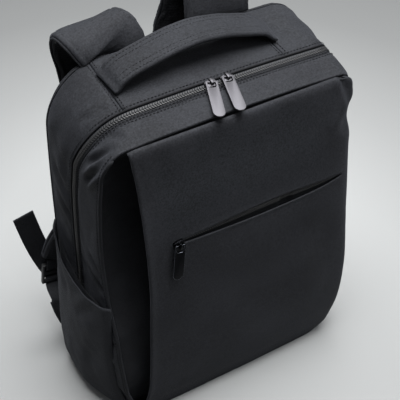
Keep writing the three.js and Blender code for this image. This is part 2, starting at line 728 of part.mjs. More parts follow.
// A zip slider, flat on the cloth: its nose points along the zip, and a crown stands
// across it. The local frame has the zip along X and the cloth's outward side along Z.
function sliderGeometry() {
  const half = { length: sliderLength / 2, width: sliderWidth / 2 };
  const plan = new THREE.Shape();
  const [tail, neck, round] = [half.width * sliderTail, -half.length * sliderNeck, half.length * sliderRound];
  plan.moveTo(-half.length, -tail);
  plan.lineTo(neck, -half.width);
  plan.lineTo(round, -half.width);
  plan.quadraticCurveTo(half.length, -half.width, half.length, 0);
  plan.quadraticCurveTo(half.length, half.width, round, half.width);
  plan.lineTo(neck, half.width);
  plan.lineTo(-half.length, tail);
  const flat = { depth: sliderThickness, bevelEnabled: false, curveSegments: 3 };
  const body = new THREE.ExtrudeGeometry(plan, flat);
  body.translate(0, 0, seamGap);

  const foot = sliderThickness - crownSink;
  const inner = sliderThickness + crownGap;
  const reach = crownReach / 2;
  const shoulder = inner + crownPost * crownShoulder;
  const crown = new THREE.Shape([
    [-reach, foot], [-reach, shoulder], [-reach * crownFlat, inner + crownPost],
    [reach * crownFlat, inner + crownPost], [reach, shoulder], [reach, foot],
    [reach - crownPost, foot], [reach - crownPost, inner],
    [crownPost - reach, inner], [crownPost - reach, foot],
  ].map(([y, z]) => new THREE.Vector2(y, z)));
  const arch = new THREE.ExtrudeGeometry(crown, { depth: crownWidth, bevelEnabled: false });
  arch.translate(0, 0, -crownWidth / 2);
  arch.applyMatrix4(new THREE.Matrix4().makeBasis(
    new THREE.Vector3(0, 1, 0),
    new THREE.Vector3(0, 0, 1),
    new THREE.Vector3(1, 0, 0),
  ));
  arch.translate(0, 0, seamGap);
  return geometryFrom(solidOf(body).add(solidOf(arch)));
}

const tabCorner = 1.5;
const eyeRound = 0.6;        // how far the eye's lower end rounds up its sides

// A flat pull tab, hung by the bar across the top of its eye, which is the pivot.
function tabGeometry(length) {
  const half = tabWidth / 2;
  const roundY = half - length;
  const plan = new THREE.Shape();
  plan.moveTo(-half, tabBar / 2 - tabCorner);
  plan.quadraticCurveTo(-half, tabBar / 2, tabCorner - half, tabBar / 2);
  plan.lineTo(half - tabCorner, tabBar / 2);
  plan.quadraticCurveTo(half, tabBar / 2, half, tabBar / 2 - tabCorner);
  plan.lineTo(half, roundY);
  plan.absarc(0, roundY, half, 0, -Math.PI, true);
  const eye = new THREE.Path();
  const [side, near, far] = [eyeWidth / 2, -tabBar / 2, -tabBar / 2 - eyeLength];
  eye.moveTo(-side, near);
  eye.lineTo(-side, far + side * eyeRound);
  eye.quadraticCurveTo(-side, far, 0, far);
  eye.quadraticCurveTo(side, far, side, far + side * eyeRound);
  eye.lineTo(side, near);
  plan.holes.push(eye);
  const tab = new THREE.ExtrudeGeometry(plan, { depth: tabThickness, bevelEnabled: false, curveSegments: 6 });
  tab.translate(0, 0, -tabThickness / 2);
  return tab;
}

// A slider and its tab at a place on the cloth, where "out" points away from the cloth.
function addSlider(name, at, out, hang, finish) {
  const along = new THREE.Vector3(1, 0, 0).addScaledVector(out, -out.x).normalize();
  const frame = new THREE.Group();
  frame.position.copy(at);
  frame.quaternion.setFromRotationMatrix(new THREE.Matrix4().makeBasis(along, out.clone().cross(along), out));
  model.add(frame);
  addPiece(`${name}_slider`, sliderGeometry(), finish, frame);
  const tab = addPiece(`${name}_pull_tab`, tabGeometry(hang.length), finish, frame);
  tab.position.set(0, 0, seamGap + sliderThickness + crownGap / 2);
  tab.rotation.set(THREE.MathUtils.degToRad(hang.pitch), 0, THREE.MathUtils.degToRad(hang.yaw), 'ZXY');
}

const slopeReach = 8;        // above and below the front zip, where the panel's slope is taken

function buildSliders() {
  const names = ['main_left', 'main_right'];
  mainSliderXs.forEach((x, n) => {
    const along = 5 - x / halfOutline(4, 0, x > 0)[0];
    const y = zipBackLine(along) - zipBand / 2;
    const hang = { length: tabLength, yaw: mainTabYaws[n], pitch: mainTabPitch };
    addSlider(names[n], bodyAt(along, y, 0), bodyNormal(along, y), hang, gunmetal);
  });
  const x = frontZipStart + sliderLength / 2;
  const at = new THREE.Vector3(x, faceY(x, frontZipHeight), frontZipHeight);
  const rise = faceY(x, frontZipHeight + slopeReach) - faceY(x, frontZipHeight - slopeReach);
  const out = new THREE.Vector3(0, -1, rise / (2 * slopeReach)).normalize();
  const hang = { length: frontTabLength, yaw: frontTabYaw, pitch: frontTabPitch };
  addSlider('front', at.addScaledVector(out, seamGap), out, hang, darkMetal);
}

// The lower end of a shoulder strap: a ladder lock in a loop of webbing, and a webbing
// strap that comes up from a tab at the bag's lower corner and runs out past the lock.
// Places are given on the lock's own axes: across it, up towards the strap, and out.
const lockLean = 0.15;
const lockDrop = 9;          // the strap's end down to the lock
const lockSlot = (lockHeight - 3 * lockBar) / 2;
const slotRoom = 1;          // between the webbing's edge and the slot's

function lockFrame() {
  const end = strapStations(-1, leftLoopRise).pop().at;
  const up = new THREE.Vector3(lockLean, 0, 1).normalize();
  const across = new THREE.Vector3(1, 0, -lockLean).normalize();
  const out = new THREE.Vector3(0, 1, 0);
  const middle = end.clone().addScaledVector(up, -lockHeight / 2 - lockDrop);
  const place = (w, v, n) => middle.clone()
    .addScaledVector(across, w)
    .addScaledVector(up, v)
    .addScaledVector(out, n);
  return { middle, across, up, out, place };
}

function lockGeometry(frame) {
  const outline = (halfWidth, low, high) => new THREE.Shape([
    new THREE.Vector2(-halfWidth, low),
    new THREE.Vector2(halfWidth, low),
    new THREE.Vector2(halfWidth, high),
    new THREE.Vector2(-halfWidth, high),
  ]);
  const body = outline(lockWidth / 2, -lockHeight / 2, lockHeight / 2);
  for (const low of [-lockSlot - lockBar / 2, lockBar / 2]) {
    body.holes.push(outline(webWidth / 2 + slotRoom, low, low + lockSlot));
  }
  const lock = new THREE.ExtrudeGeometry(body, { depth: lockThickness, bevelEnabled: false });
  lock.translate(0, 0, -lockThickness / 2);
  lock.applyMatrix4(new THREE.Matrix4().makeBasis(frame.across, frame.up, frame.out.clone().negate()));
  lock.translate(...frame.middle.toArray());
  return lock;
}

// The loop sewn to the strap's end, round the lock's upper slot. up is a share of
// lockHeight above the lock's middle, out a share of the room that clears the lock.
const loopTable = [
  { up: 0.805, out: 1 },
  { up: 0.344, out: 1 },
  { up: 0.233, out: 0.75 },
  { up: 0.178, out: 0 },
  { up: 0.233, out: -0.75 },
  { up: 0.344, out: -1 },
  { up: 0.805, out: -1 },
];

// The webbing through the lower slot and out over the padded strap. across is a share of
// webWidth, up and out as above, tail a share of tailLength, over a share of strapThickness.
const webTable = [
  { across: 0, up: -0.5, tail: 0, out: -1.09, over: 0 },
  { across: 0, up: -0.367, tail: 0, out: -1.15, over: 0 },
  { across: 0, up: -0.267, tail: 0, out: -0.88, over: 0 },
  { across: 0, up: -0.211, tail: 0, out: 0, over: 0 },
  { across: 0, up: -0.156, tail: 0, out: 0.88, over: 0 },
  { across: -0.02, up: -0.056, tail: 0, out: 1.15, over: 0 },
  { across: -0.12, up: 0.1, tail: 0, out: 1.8, over: 0 },
  { across: -0.32, up: 0.42, tail: 0, out: 2.45, over: 0 },
  { across: -0.54, up: 0.5, tail: 0.13, out: 1.4, over: 0.42 },
  { across: -0.74, up: 0.5, tail: 0.29, out: 1.4, over: 0.42 },
  { across: -1.0, up: 0.5, tail: 0.52, out: 1.45, over: 0.42 },
  { across: -1.25, up: 0.5, tail: 0.77, out: 1.6, over: 0.42 },
  { across: -1.47, up: 0.5, tail: 1, out: 1.75, over: 0.42 },
];

// The tab at the lower corner that the webbing starts from: side is a share of half the
// body's width, off millimetres behind the back pad, up a share of anchorSize.
const anchorTable = [
  { side: 0.905, off: 1.1, up: 0, width: 1 },
  { side: 0.928, off: 5, up: 0.5, width: 0.98 },
  { side: 0.94, off: 10, up: 1, width: 0.96 },
];
const anchorThickness = 3.2;
const anchorWidth = 31;
const webStart = [{ back: 1.6, up: 2.3 }, { back: 9.5, up: 5.2 }]; // millimetres off the tab's top

function buildStrapEnds() {
  const frame = lockFrame();
  const clear = lockThickness / 2 + seamGap + webThickness / 2;
  const level = new THREE.Vector3(1, 0, 0);
  const web = (at, across = frame.across) => ({ at, across, width: webWidth, thickness: webThickness });
  const loop = loopTable.map((row) => web(frame.place(0, row.up * lockHeight, row.out * clear)));
  for (const end of [loop[0], loop[loop.length - 1]]) Object.assign(end, { across: level, level: true });
  const anchor = anchorTable.map((row) => ({
    at: new THREE.Vector3(
      -row.side * (bodyWidth / 2),
      backSeamY + backPadThickness + row.off,
      anchorHeight + row.up * anchorSize,
    ),
    across: level,
    width: row.width * anchorWidth,
    thickness: anchorThickness,
  }));
  const top = anchor[anchor.length - 1].at;
  const strap = [
    ...webStart.map((row) => web(top.clone().add(new THREE.Vector3(0, row.back, row.up)), level)),
    ...webTable.map((row) => ({
      ...web(frame.place(
        row.across * webWidth,
        row.up * lockHeight + row.tail * tailLength,
        row.out * clear + row.over * strapThickness,
      )),
      level: row.up < 0,
    })),
  ];
  const pieces = [
    ['ladder_lock', lockGeometry(frame), plastic],
    ['lock_loop', bandAlong(loop), webbingFinish],
    ['strap_webbing', bandAlong(strap), webbingFinish],
    ['strap_anchor', bandAlong(anchor), darkCloth],
  ];
  for (const [name, geometry, finish] of pieces) {
    addPiece(`${name}_left`, geometry, finish);
    addPiece(`${name}_right`, mirrored(geometry), finish);
  }
}

buildBody();
buildBackPanel();
buildFrontWall();
buildFrontPanel();
buildMouthBinding();
buildSidePocket('side_pocket_right', true);
buildSidePocket('side_pocket_left', false);
buildHandle();
buildStraps();
buildStrapEnds();
buildSliders();

export default model;
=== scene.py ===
import bpy
import bmesh
import json
import math
import numpy as np
from mathutils import Matrix, Vector, noise

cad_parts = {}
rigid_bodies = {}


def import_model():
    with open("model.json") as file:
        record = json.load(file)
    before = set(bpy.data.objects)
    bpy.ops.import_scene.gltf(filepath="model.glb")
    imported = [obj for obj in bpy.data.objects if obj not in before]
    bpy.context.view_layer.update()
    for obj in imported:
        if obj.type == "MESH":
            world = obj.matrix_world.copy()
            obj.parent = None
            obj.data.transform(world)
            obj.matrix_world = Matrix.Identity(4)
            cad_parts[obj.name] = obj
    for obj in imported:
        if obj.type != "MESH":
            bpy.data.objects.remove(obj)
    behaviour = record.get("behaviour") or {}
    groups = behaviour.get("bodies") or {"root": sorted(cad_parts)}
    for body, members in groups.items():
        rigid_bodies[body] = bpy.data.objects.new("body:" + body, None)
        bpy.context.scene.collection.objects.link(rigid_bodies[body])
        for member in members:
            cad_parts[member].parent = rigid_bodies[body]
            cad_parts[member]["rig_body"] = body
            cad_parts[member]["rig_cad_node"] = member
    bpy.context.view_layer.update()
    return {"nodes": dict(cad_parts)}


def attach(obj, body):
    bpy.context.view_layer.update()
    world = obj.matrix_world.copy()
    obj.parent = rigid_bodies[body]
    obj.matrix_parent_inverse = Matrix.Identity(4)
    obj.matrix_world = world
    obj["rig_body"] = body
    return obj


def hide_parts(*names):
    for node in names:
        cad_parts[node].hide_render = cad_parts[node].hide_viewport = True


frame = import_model()
print("frame loaded")

# Lengths are millimetres, as on the bag's own drawing, until a mesh is made.
mm = 0.001
bag = {
    "width": 306, "height": 385, "backSeam": 58, "baseFront": 66,
    "leftCorner": 58, "rightCorner": 34, "baseCorner": 20,
    "rightSwell": 20, "topCrown": 4, "cloth": 1.4, "zipBand": 12,
}
depthOfBag = bag["backSeam"] + bag["baseFront"]

# share of the depth from the back seam: top, width, left corner, right corner
depthRows = np.array([
    [-0.05, 0.99, 0.99, 1.05, 0.95], [0.0, 1.0, 1.0, 1.05, 0.95], [0.2, 0.99, 1.0, 1.04, 0.95],
    [0.63, 0.965, 0.99, 1.0, 0.74], [0.82, 0.95, 0.985, 0.75, 0.62], [0.95, 0.937, 0.98, 0.45, 0.5],
    [1.12, 0.925, 0.972, 0.4, 0.45],
])
# share of the height: width
heightRows = np.array([
    [0, 0.95], [0.04, 0.99], [0.14, 1.0], [0.26, 0.985], [0.45, 0.955], [0.6, 0.95], [0.75, 0.94],
    [0.88, 0.925], [1, 0.905],
])
# share of the height: how far the lower front corners are drawn in; share of the depth: how much of it
toeRows = np.array([[0, 0.13], [0.06, 0.11], [0.14, 0.062], [0.3, 0.012], [0.45, 0]])
toeDepthRows = np.array([[0.5, 0], [0.8, 0.45], [1.0, 1]])
# round the outline: zip seam, free edge
seamRows = np.array([
    [0, -0.08, 0.53], [1.6, -0.08, 0.535], [2.0, -0.085, 0.56], [2.18, -0.09, 0.605], [2.32, -0.09, 0.575],
    [2.46, -0.095, 0.46], [2.58, -0.095, 0.405], [2.74, -0.085, 0.375], [2.88, -0.065, 0.39],
    [3.0, -0.02, 0.43], [3.5, 0.1, 0.475], [4.0, 0.155, 0.485], [5.0, 0.16, 0.485],
])
# share of the height: how far the front panel stands forward, its free left edge
faceRows = np.array([
    [0, 0.55, -0.425], [0.035, 0.59, -0.407], [0.08, 0.63, -0.39], [0.16, 0.66, -0.376],
    [0.35, 0.68, -0.367], [0.52, 0.67, -0.357], [0.72, 0.62, -0.358], [0.85, 0.56, -0.364],
    [0.94, 0.515, -0.375],
])


def smoothAt(rows, column, at):
    xs, ys = rows[:, 0], rows[:, column]
    at = np.clip(np.asarray(at, float), xs[0], xs[-1])
    i = np.clip(np.searchsorted(xs, at, side="right") - 1, 0, len(xs) - 2)
    width = np.diff(xs)
    slope = np.diff(ys) / width
    lean = np.concatenate([slope[:1], np.zeros(len(xs) - 2), slope[-1:]])
    for k in range(1, len(xs) - 1):
        before, after = slope[k - 1], slope[k]
        lean[k] = 0 if before * after <= 0 else 2 * before * after / (before + after)
    t = (at - xs[i]) / width[i]
    start = ys[i] * (1 + 2 * t) * (1 - t) ** 2 + lean[i] * width[i] * t * (1 - t) ** 2
    return start + ys[i + 1] * (3 - 2 * t) * t ** 2 - lean[i + 1] * width[i] * (1 - t) * t ** 2


def halfOutline(along, y, right):
    depth = (bag["backSeam"] - y) / depthOfBag
    top = bag["height"] * smoothAt(depthRows, 1, depth)
    leftCorner = bag["leftCorner"] * smoothAt(depthRows, 3, depth)
    rightCorner = bag["rightCorner"] * smoothAt(depthRows, 4, depth)
    corner = np.where(right, rightCorner, leftCorner)
    half, base = bag["width"] / 2, bag["baseCorner"]
    stretch = np.clip(np.floor(along), 0, 4)
    share = along - stretch
    turn = share * math.pi / 2
    pick = [stretch == n for n in range(4)]
    x = np.select(pick, [
        (half - base) * share, half - base * (1 - np.sin(turn)), half + 0 * share,
        half - corner * (1 - np.cos(turn)),
    ], (half - corner) * (1 - share))
    z = np.select(pick, [
        0 * share, base * (1 - np.cos(turn)), base + (top - corner - base) * share,
        top - corner * (1 - np.sin(turn)),
    ], top + 0 * share)
    width = smoothAt(depthRows, 2, depth) * smoothAt(heightRows, 1, z / bag["height"])
    tuck = smoothAt(toeRows, 1, z / bag["height"]) * smoothAt(toeDepthRows, 1, depth)
    high = (x / half) ** 2 * (z / top) ** 6
    swell = np.where(right, bag["rightSwell"] * high * np.sqrt(np.clip(1 - depth, 0, None)), 0)
    return x * width * (1 - tuck) + swell, z - bag["topCrown"] * high


# 0 at the middle of the base, up the right side, 5 at the middle of the top, down the left side to 10
def bodyPoint(along, y):
    along, y = np.broadcast_arrays(np.asarray(along, float), np.asarray(y, float))
    lap = np.mod(along, 10)
    left = lap > 5
    x, z = halfOutline(np.where(left, 10 - lap, lap), y, ~left)
    return np.stack([np.where(left, -x, x), y, z], -1)


def unit(vectors):
    return vectors / np.maximum(np.linalg.norm(vectors, axis=-1, keepdims=True), 1e-9)


def bodyNormal(along, y):
    along, y = np.broadcast_arrays(np.asarray(along, float), np.asarray(y, float))
    round_ = bodyPoint(along + 0.01, y) - bodyPoint(along - 0.01, y)
    back = bodyPoint(along, y + 1) - bodyPoint(along, y - 1)
    return -unit(np.cross(round_, back))


def bodyAt(along, y, lift=0.0):
    normal = bodyNormal(along, y)
    raised = np.broadcast_to(np.asarray(lift, float), normal.shape[:-1])
    return bodyPoint(along, y) + normal * raised[..., None]


def seamY(column, along):
    lap = np.mod(along, 10)
    return -depthOfBag * smoothAt(seamRows, column, np.where(lap <= 5, lap, 10 - lap))


def runAlong(points, axis=0):
    steps = np.linalg.norm(np.diff(points, axis=axis), axis=-1)
    start = np.zeros_like(np.take(steps, [0], axis))
    return np.concatenate([start, np.cumsum(steps, axis)], axis)


def evenly(start, stop, spacing, y=0.0):
    marks = np.linspace(start, stop, 1500)
    run = runAlong(bodyPoint(marks, y))
    return np.interp(np.linspace(0, run[-1], max(2, round(run[-1] / spacing)) + 1), run, marks)


def leftAt(height, y, lift=0.0):
    low, high = np.full(np.shape(height), 1.0), np.full(np.shape(height), 5.0)
    for turn in range(24):
        middle = (low + high) / 2
        under = bodyAt(10 - middle, y, lift)[..., 2] < height
        low, high = np.where(under, middle, low), np.where(under, high, middle)
    return bodyAt(10 - low, y, lift)[..., 0]


# materials

class Wire:
    def __init__(self, tree, socket):
        self.tree, self.socket = tree, socket

    def math(self, operation, other, flipped=False):
        node = self.tree.nodes.new("ShaderNodeMath")
        node.operation = operation
        pair = (other, self) if flipped else (self, other)
        for slot, value in zip(node.inputs, pair):
            if isinstance(value, Wire):
                self.tree.links.new(value.socket, slot)
            else:
                slot.default_value = value
        return Wire(self.tree, node.outputs[0])

    def __add__(self, other):
        return self.math("ADD", other)

    def __sub__(self, other):
        return self.math("SUBTRACT", other)

    def __rsub__(self, other):
        return self.math("SUBTRACT", other, True)

    def __mul__(self, other):
        return self.math("MULTIPLY", other)

    __radd__ = __add__
    __rmul__ = __mul__


class Finish:
    def __init__(self, name, fixed):
        self.material = bpy.data.materials.new(name)
        self.material.use_nodes = True
        self.tree = self.material.node_tree
        self.tree.nodes.clear()
        self.shader = self.tree.nodes.new("ShaderNodeBsdfPrincipled")
        output = self.tree.nodes.new("ShaderNodeOutputMaterial")
        self.tree.links.new(self.shader.outputs[0], output.inputs["Surface"])
        for socket, value in fixed.items():
            self.shader.inputs[socket].default_value = value

    def add(self, kind, settings=None, values=None, output=0):
        node = self.tree.nodes.new(kind)
        for key, value in (settings or {}).items():
            if key == "stops":
                marks = node.color_ramp.elements
                while len(marks) < len(value):
                    marks.new(1.0)
                for mark, (at, colour) in zip(marks, value):
                    mark.position, mark.color = at, colour
            else:
                setattr(node, key, value)
        for key, value in (values or {}).items():
            self.feed(node.inputs[key], value)
        return Wire(self.tree, node.outputs[output])

    def feed(self, slot, value):
        if isinstance(value, Wire):
            self.tree.links.new(value.socket, slot)
        else:
            slot.default_value = value

    def wear(self, socket, value):
        self.feed(self.shader.inputs[socket], value)

    def mixed(self, factor, first, second):
        return self.add("ShaderNodeMix", {"data_type": "RGBA"}, {0: factor, 6: first, 7: second}, 2)

    def noise(self, vector, scale, detail=2.0, roughness=0.5):
        return self.add("ShaderNodeTexNoise", {}, {
            "Vector": vector, "Scale": scale, "Detail": detail, "Roughness": roughness})

    def bump(self, height, strength, distance, under=None):
        values = {"Height": height, "Strength": strength, "Distance": distance}
        if under:
            values["Normal"] = under
        return self.add("ShaderNodeBump", {}, values)


def grey(value, warmth=0.0):
    return (value * (0.94 + warmth), value, value * (1.17 - warmth), 1)


# thread: millimetres between threads. sheen and fleck make it look matt and slightly mixed.
def wovenCloth(name, look):
    cloth = Finish(name, {
        "Sheen Weight": look["sheen"], "Sheen Roughness": 0.45, "Specular IOR Level": look["gloss"]})
    cloth.shader.inputs["Sheen Tint"].default_value = (0.8, 0.85, 1, 1)
    place = cloth.add("ShaderNodeTexCoord", output=2)
    solid = cloth.add("ShaderNodeTexCoord", output=3)
    split = cloth.add("ShaderNodeSeparateXYZ", {}, {0: place})
    across, down = split, Wire(cloth.tree, split.socket.node.outputs[1])
    turns = 2 * math.pi / (look["thread"] * mm)
    weft = (across * turns).math("SINE", 0)
    warp = (down * turns * look["rib"]).math("SINE", 0)
    weave = weft * warp * 0.5 + 0.5
    fleck = cloth.noise(solid, 1000 / look["fleck"], 3.0, 0.7)
    cloud = cloth.noise(solid, 14.0, 2.0)
    blend = fleck * 0.6 + cloud * 0.25 + weave * 0.15
    stops = [(0.38, look["dark"]), (0.62, look["light"])]
    cloth.wear("Base Color", cloth.add("ShaderNodeValToRGB", {"stops": stops}, {0: blend}))
    cloth.wear("Roughness", cloud * 0.12 + look["roughness"])
    fine = cloth.bump(weave, look["weaveDepth"], 0.0003)
    cloth.wear("Normal", cloth.bump(fleck, 0.25, 0.0006, fine))
    return cloth.material


def metal(name, look):
    finish = Finish(name, {"Metallic": 1.0})
    solid = finish.add("ShaderNodeTexCoord", output=3)
    grain = finish.noise(solid, 900.0, 2.0)
    smear = finish.noise(solid, 60.0, 3.0)
    finish.wear("Base Color", finish.mixed(smear, look["dark"], look["light"]))
    finish.wear("Roughness", smear * 0.16 + look["roughness"])
    finish.wear("Normal", finish.bump(grain, 0.06, 0.0002))
    return finish.material


def moulded(name, look):
    finish = Finish(name, {"Specular IOR Level": 0.45})
    solid = finish.add("ShaderNodeTexCoord", output=3)
    grain = finish.noise(solid, 1400.0, 2.0)
    finish.wear("Base Color", finish.mixed(grain, look["dark"], look["light"]))
    finish.wear("Roughness", grain * 0.15 + look["roughness"])
    finish.wear("Normal", finish.bump(grain, 0.2, 0.0003))
    return finish.material


shell = {
    "thread": 0.9, "rib": 1.0, "fleck": 1.9, "weaveDepth": 0.35, "sheen": 0.03, "gloss": 0.08,
    "roughness": 0.66, "dark": grey(0.0042), "light": grey(0.0155),
}
mats = {
    "shell": wovenCloth("charcoalPolyester", shell),
    "lining": wovenCloth("blackLining", {**shell, "dark": grey(0.0025), "light": grey(0.008)}),
    "mesh": wovenCloth("spacerMesh", {
        **shell, "thread": 3.2, "fleck": 2.4, "weaveDepth": 1.0, "dark": grey(0.002), "light": grey(0.009)}),
    "webbing": wovenCloth("blackWebbing", {
        **shell, "thread": 1.6, "rib": 0.5, "weaveDepth": 0.9, "dark": grey(0.005), "light": grey(0.012)}),
    "tape": wovenCloth("zipTape", {
        **shell, "thread": 1.2, "rib": 0.6, "weaveDepth": 0.8, "dark": grey(0.005), "light": grey(0.012)}),
    "thread": wovenCloth("blackThread", {
        **shell, "thread": 0.5, "weaveDepth": 0.4, "dark": grey(0.002), "light": grey(0.004)}),
    "coil": moulded("nylonCoil", {"dark": grey(0.003), "light": grey(0.0065), "roughness": 0.55}),
    # painted shade: a darker copy of the coil finish for the front zip, standing for the shade inside its
    # slit
    "darkCoil": moulded("paintedShadeCoil", {"dark": grey(0.002), "light": grey(0.004), "roughness": 0.45}),
    "gunmetal": metal("satinGunmetal", {
        "dark": grey(0.04, 0.08), "light": grey(0.062, 0.08), "roughness": 0.46}),
    "blackMetal": metal("glossBlackMetal", {"dark": grey(0.004), "light": grey(0.007), "roughness": 0.2}),
    # painted highlight: a light metal for the front tab's bevel faces, standing for the highlight along its
    # rim
    "highlightRimMetal": metal("paintedHighlightRim", {"dark": grey(0.12), "light": grey(0.17), "roughness": 0.25}),
    "buckle": moulded("blackAcetal", {"dark": grey(0.0055), "light": grey(0.009), "roughness": 0.38}),
}
print("finishes ready")


# making pieces

def place(piece, finishes, slot, replaced=(), body="bag"):
    for finish in [finishes] if isinstance(finishes, str) else finishes:
        piece.data.materials.append(mats[finish])
    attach(piece, body)
    if replaced:
        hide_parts(*replaced)
    return piece


def meshPiece(name, points, faces, uv, smooth=True):
    data = bpy.data.meshes.new(name)
    data.from_pydata((np.asarray(points) * mm).tolist(), [], faces)
    data.polygons.foreach_set("use_smooth", [smooth] * len(data.polygons))
    layer = data.uv_layers.new(name="UVMap")
    corner = np.zeros(len(data.loops), int)
    data.loops.foreach_get("vertex_index", corner)
    layer.data.foreach_set("uv", (np.asarray(uv)[corner] * mm).ravel())
    piece = bpy.data.objects.new(name, data)
    bpy.context.scene.collection.objects.link(piece)
    return piece


def gridRun(grid):
    return np.stack([runAlong(grid, 1), runAlong(grid, 0)], -1)


# A grid of points becomes cloth of a thickness, which goes in from the surface.
def clothPiece(name, grid, thickness, skip=None, flip=False):
    rows, columns = grid.shape[:2]
    faces = []
    for i in range(rows - 1):
        for j in range(columns - 1):
            if skip is not None and skip[i, j]:
                continue
            a = i * columns + j
            quad = [a, a + 1, a + columns + 1, a + columns]
            faces.append(quad[::-1] if flip else quad)
    piece = meshPiece(name, grid.reshape(-1, 3), faces, gridRun(grid).reshape(-1, 2))
    weld = bmesh.new()
    weld.from_mesh(piece.data)
    bmesh.ops.remove_doubles(weld, verts=weld.verts, dist=1e-5)
    weld.to_mesh(piece.data)
    weld.free()
    thick = piece.modifiers.new("cloth", "SOLIDIFY")
    thick.thickness, thick.offset = thickness * mm, -1
    thick.use_even_offset = False
    return piece


# Rings of points closed into a body. split gives the second finish to part of each ring.
def loftPiece(name, rings, split=None):
    rows, count = rings.shape[:2]
    faces = [list(range(count))[::-1], [(rows - 1) * count + j for j in range(count)]]
    for i in range(rows - 1):
        for j in range(count):
            a, b = i * count + j, i * count + (j + 1) % count
            faces.append([a, b, b + count, a + count])
    closed = np.concatenate([rings, rings[:, :1]], 1)
    uv = gridRun(closed)[:, :count].reshape(-1, 2)
    piece = meshPiece(name, rings.reshape(-1, 3), faces, uv)
    if split is not None:
        index = [0, 0] + [1 if split[j] else 0 for i in range(rows - 1) for j in range(count)]
        piece.data.polygons.foreach_set("material_index", index)
    outward = bmesh.new()
    outward.from_mesh(piece.data)
    bmesh.ops.recalc_face_normals(outward, faces=outward.faces)
    outward.to_mesh(piece.data)
    outward.free()
    return piece


def smoothPath(points, spacing):
    points = np.asarray(points, float)
    padded = np.concatenate([2 * points[:1] - points[1:2], points, 2 * points[-1:] - points[-2:-1]])
    fine = []
    for k in range(1, len(padded) - 2):
        a, b, c, d = padded[k - 1:k + 3]
        for t in np.linspace(0, 1, 24, endpoint=False):
            square, cube = 2 * a - 5 * b + 4 * c - d, 3 * b - a - 3 * c + d
            fine.append(0.5 * (2 * b + (c - a) * t + square * t ** 2 + cube * t ** 3))
    fine = np.array(fine + [points[-1]])
    return resampled(fine, spacing)


def resampled(points, spacing):
    run = runAlong(points[:, :3])
    wanted = np.linspace(0, run[-1], max(2, round(run[-1] / spacing)) + 1)
    return np.stack([np.interp(wanted, run, points[:, k]) for k in range(points.shape[1])], -1)


def directions(points):
    return unit(np.gradient(points, axis=0))


# A round cord of cloth along a path, such as piping.
def piping(name, path, radius, sides=8):
    path = resampled(np.asarray(path, float), 2.5)
    forward = directions(path)
    side = unit(np.cross(forward, [0.31, 0.52, 0.79]))
    up = np.cross(forward, side)
    turn = np.linspace(0, 2 * math.pi, sides, endpoint=False)
    size = np.full(len(path), radius)
    size[[0, -1]] *= 0.4
    rings = path[:, None] + size[:, None, None] * (
        side[:, None] * np.cos(turn)[None, :, None] + up[:, None] * np.sin(turn)[None, :, None])
    return loftPiece(name, rings)


# Stitches lie along a path, each a small spindle of thread. out is the cloth's outward side.
stitch = {"pitch": 3.8, "length": 2.7, "radius": 0.48}


def stitchRow(path, out):
    both = resampled(np.concatenate([path, out], 1), stitch["pitch"])
    path, out = both[:, :3], unit(both[:, 3:])
    forward = directions(path)
    side = unit(np.cross(out, forward))
    turn = np.linspace(0, 2 * math.pi, 5, endpoint=False)
    round5 = side[:, None] * np.cos(turn)[None, :, None] + out[:, None] * np.sin(turn)[None, :, None]
    points, faces = [], []
    for centre, along, spread in zip(path, forward, round5):
        start = len(points)
        for at, fat in ((-0.5, 0.35), (0, 1), (0.5, 0.35)):
            points.extend(centre + along * at * stitch["length"] + spread * stitch["radius"] * fat)
        for ring in (0, 5):
            for k in range(5):
                a, b = start + ring + k, start + ring + (k + 1) % 5
                faces.append([a, b, b + 5, a + 5])
        faces.append([start + k for k in range(5)][::-1])
        faces.append([start + 10 + k for k in range(5)])
    return np.array(points), faces


def stitching(name, rows):
    points, faces = [], []
    for path, out in rows:
        some, theirs = stitchRow(np.asarray(path, float), np.asarray(out, float))
        shift = sum(len(p) for p in points)
        points.append(some)
        faces.extend([[k + shift for k in face] for face in theirs])
    points = np.concatenate(points)
    return meshPiece(name, points, faces, points[:, :2])


# The ribs of a coil zip, each across the zip. tall and wide are the whole coil's.
def coilRibs(name, path, out, pitch, wide, tall, skew):
    both = resampled(np.concatenate([path, out], 1), pitch)
    path, out = both[:, :3], unit(both[:, 3:])
    forward = directions(path)
    side = unit(np.cross(out, forward))
    outline = [(-0.5, -0.5), (-0.5, 0.1), (-0.36, 0.5), (0.36, 0.5), (0.5, 0.1), (0.5, -0.5)]
    points, faces = [], []
    for centre, along, across, up in zip(path, forward, side, out):
        start = len(points)
        for at in (-0.28, 0.28):
            for w, h in outline:
                points.append(centre + along * (at + w * skew) * pitch + across * w * wide + up * h * tall)
        for k in range(6):
            a, b = start + k, start + (k + 1) % 6
            faces.append([a, b, b + 6, a + 6])
        faces.append([start + k for k in range(6)][::-1])
        faces.append([start + 6 + k for k in range(6)])
    points = np.array(points)
    return meshPiece(name, points, faces, points[:, :2], smooth=False)


# creases and ripples of the cloth

def rippleAt(points, size, octaves=3, shift=0.0):
    flat = points.reshape(-1, 3) / size + shift
    values = [noise.fractal(Vector(p), 1.0, 2.0, octaves) for p in flat]
    return np.array(values).reshape(points.shape[:-1])


# Each ripple is a row: height, size, octaves, shift.
def rippled(points, rows):
    return sum(height * rippleAt(points, size, octaves, shift) for height, size, octaves, shift in rows)


# Each crease is a row: from, to, width, depth (down where positive). A low rim rises on both its sides.
def creased(points, creases):
    lift = np.zeros(points.shape[:-1])
    for start, stop, width, depth in creases:
        start, line = np.array(start, float), np.subtract(stop, start, dtype=float)
        t = ((points - start) @ line) / (line @ line)
        near = start + np.clip(t, 0, 1)[..., None] * line
        away = np.linalg.norm(points - near, axis=-1)
        taper = np.clip(1.15 - np.abs(2 * t - 1) ** 2, 0, 1)
        rims = 0.45 * np.exp(-((away - 1.7 * width) / (0.9 * width)) ** 2)
        lift -= depth * taper * (np.exp(-(away / width) ** 2) - rims)
    return lift


def pinched(distance, depth, width):
    return -depth * np.exp(-(distance / width) ** 2)


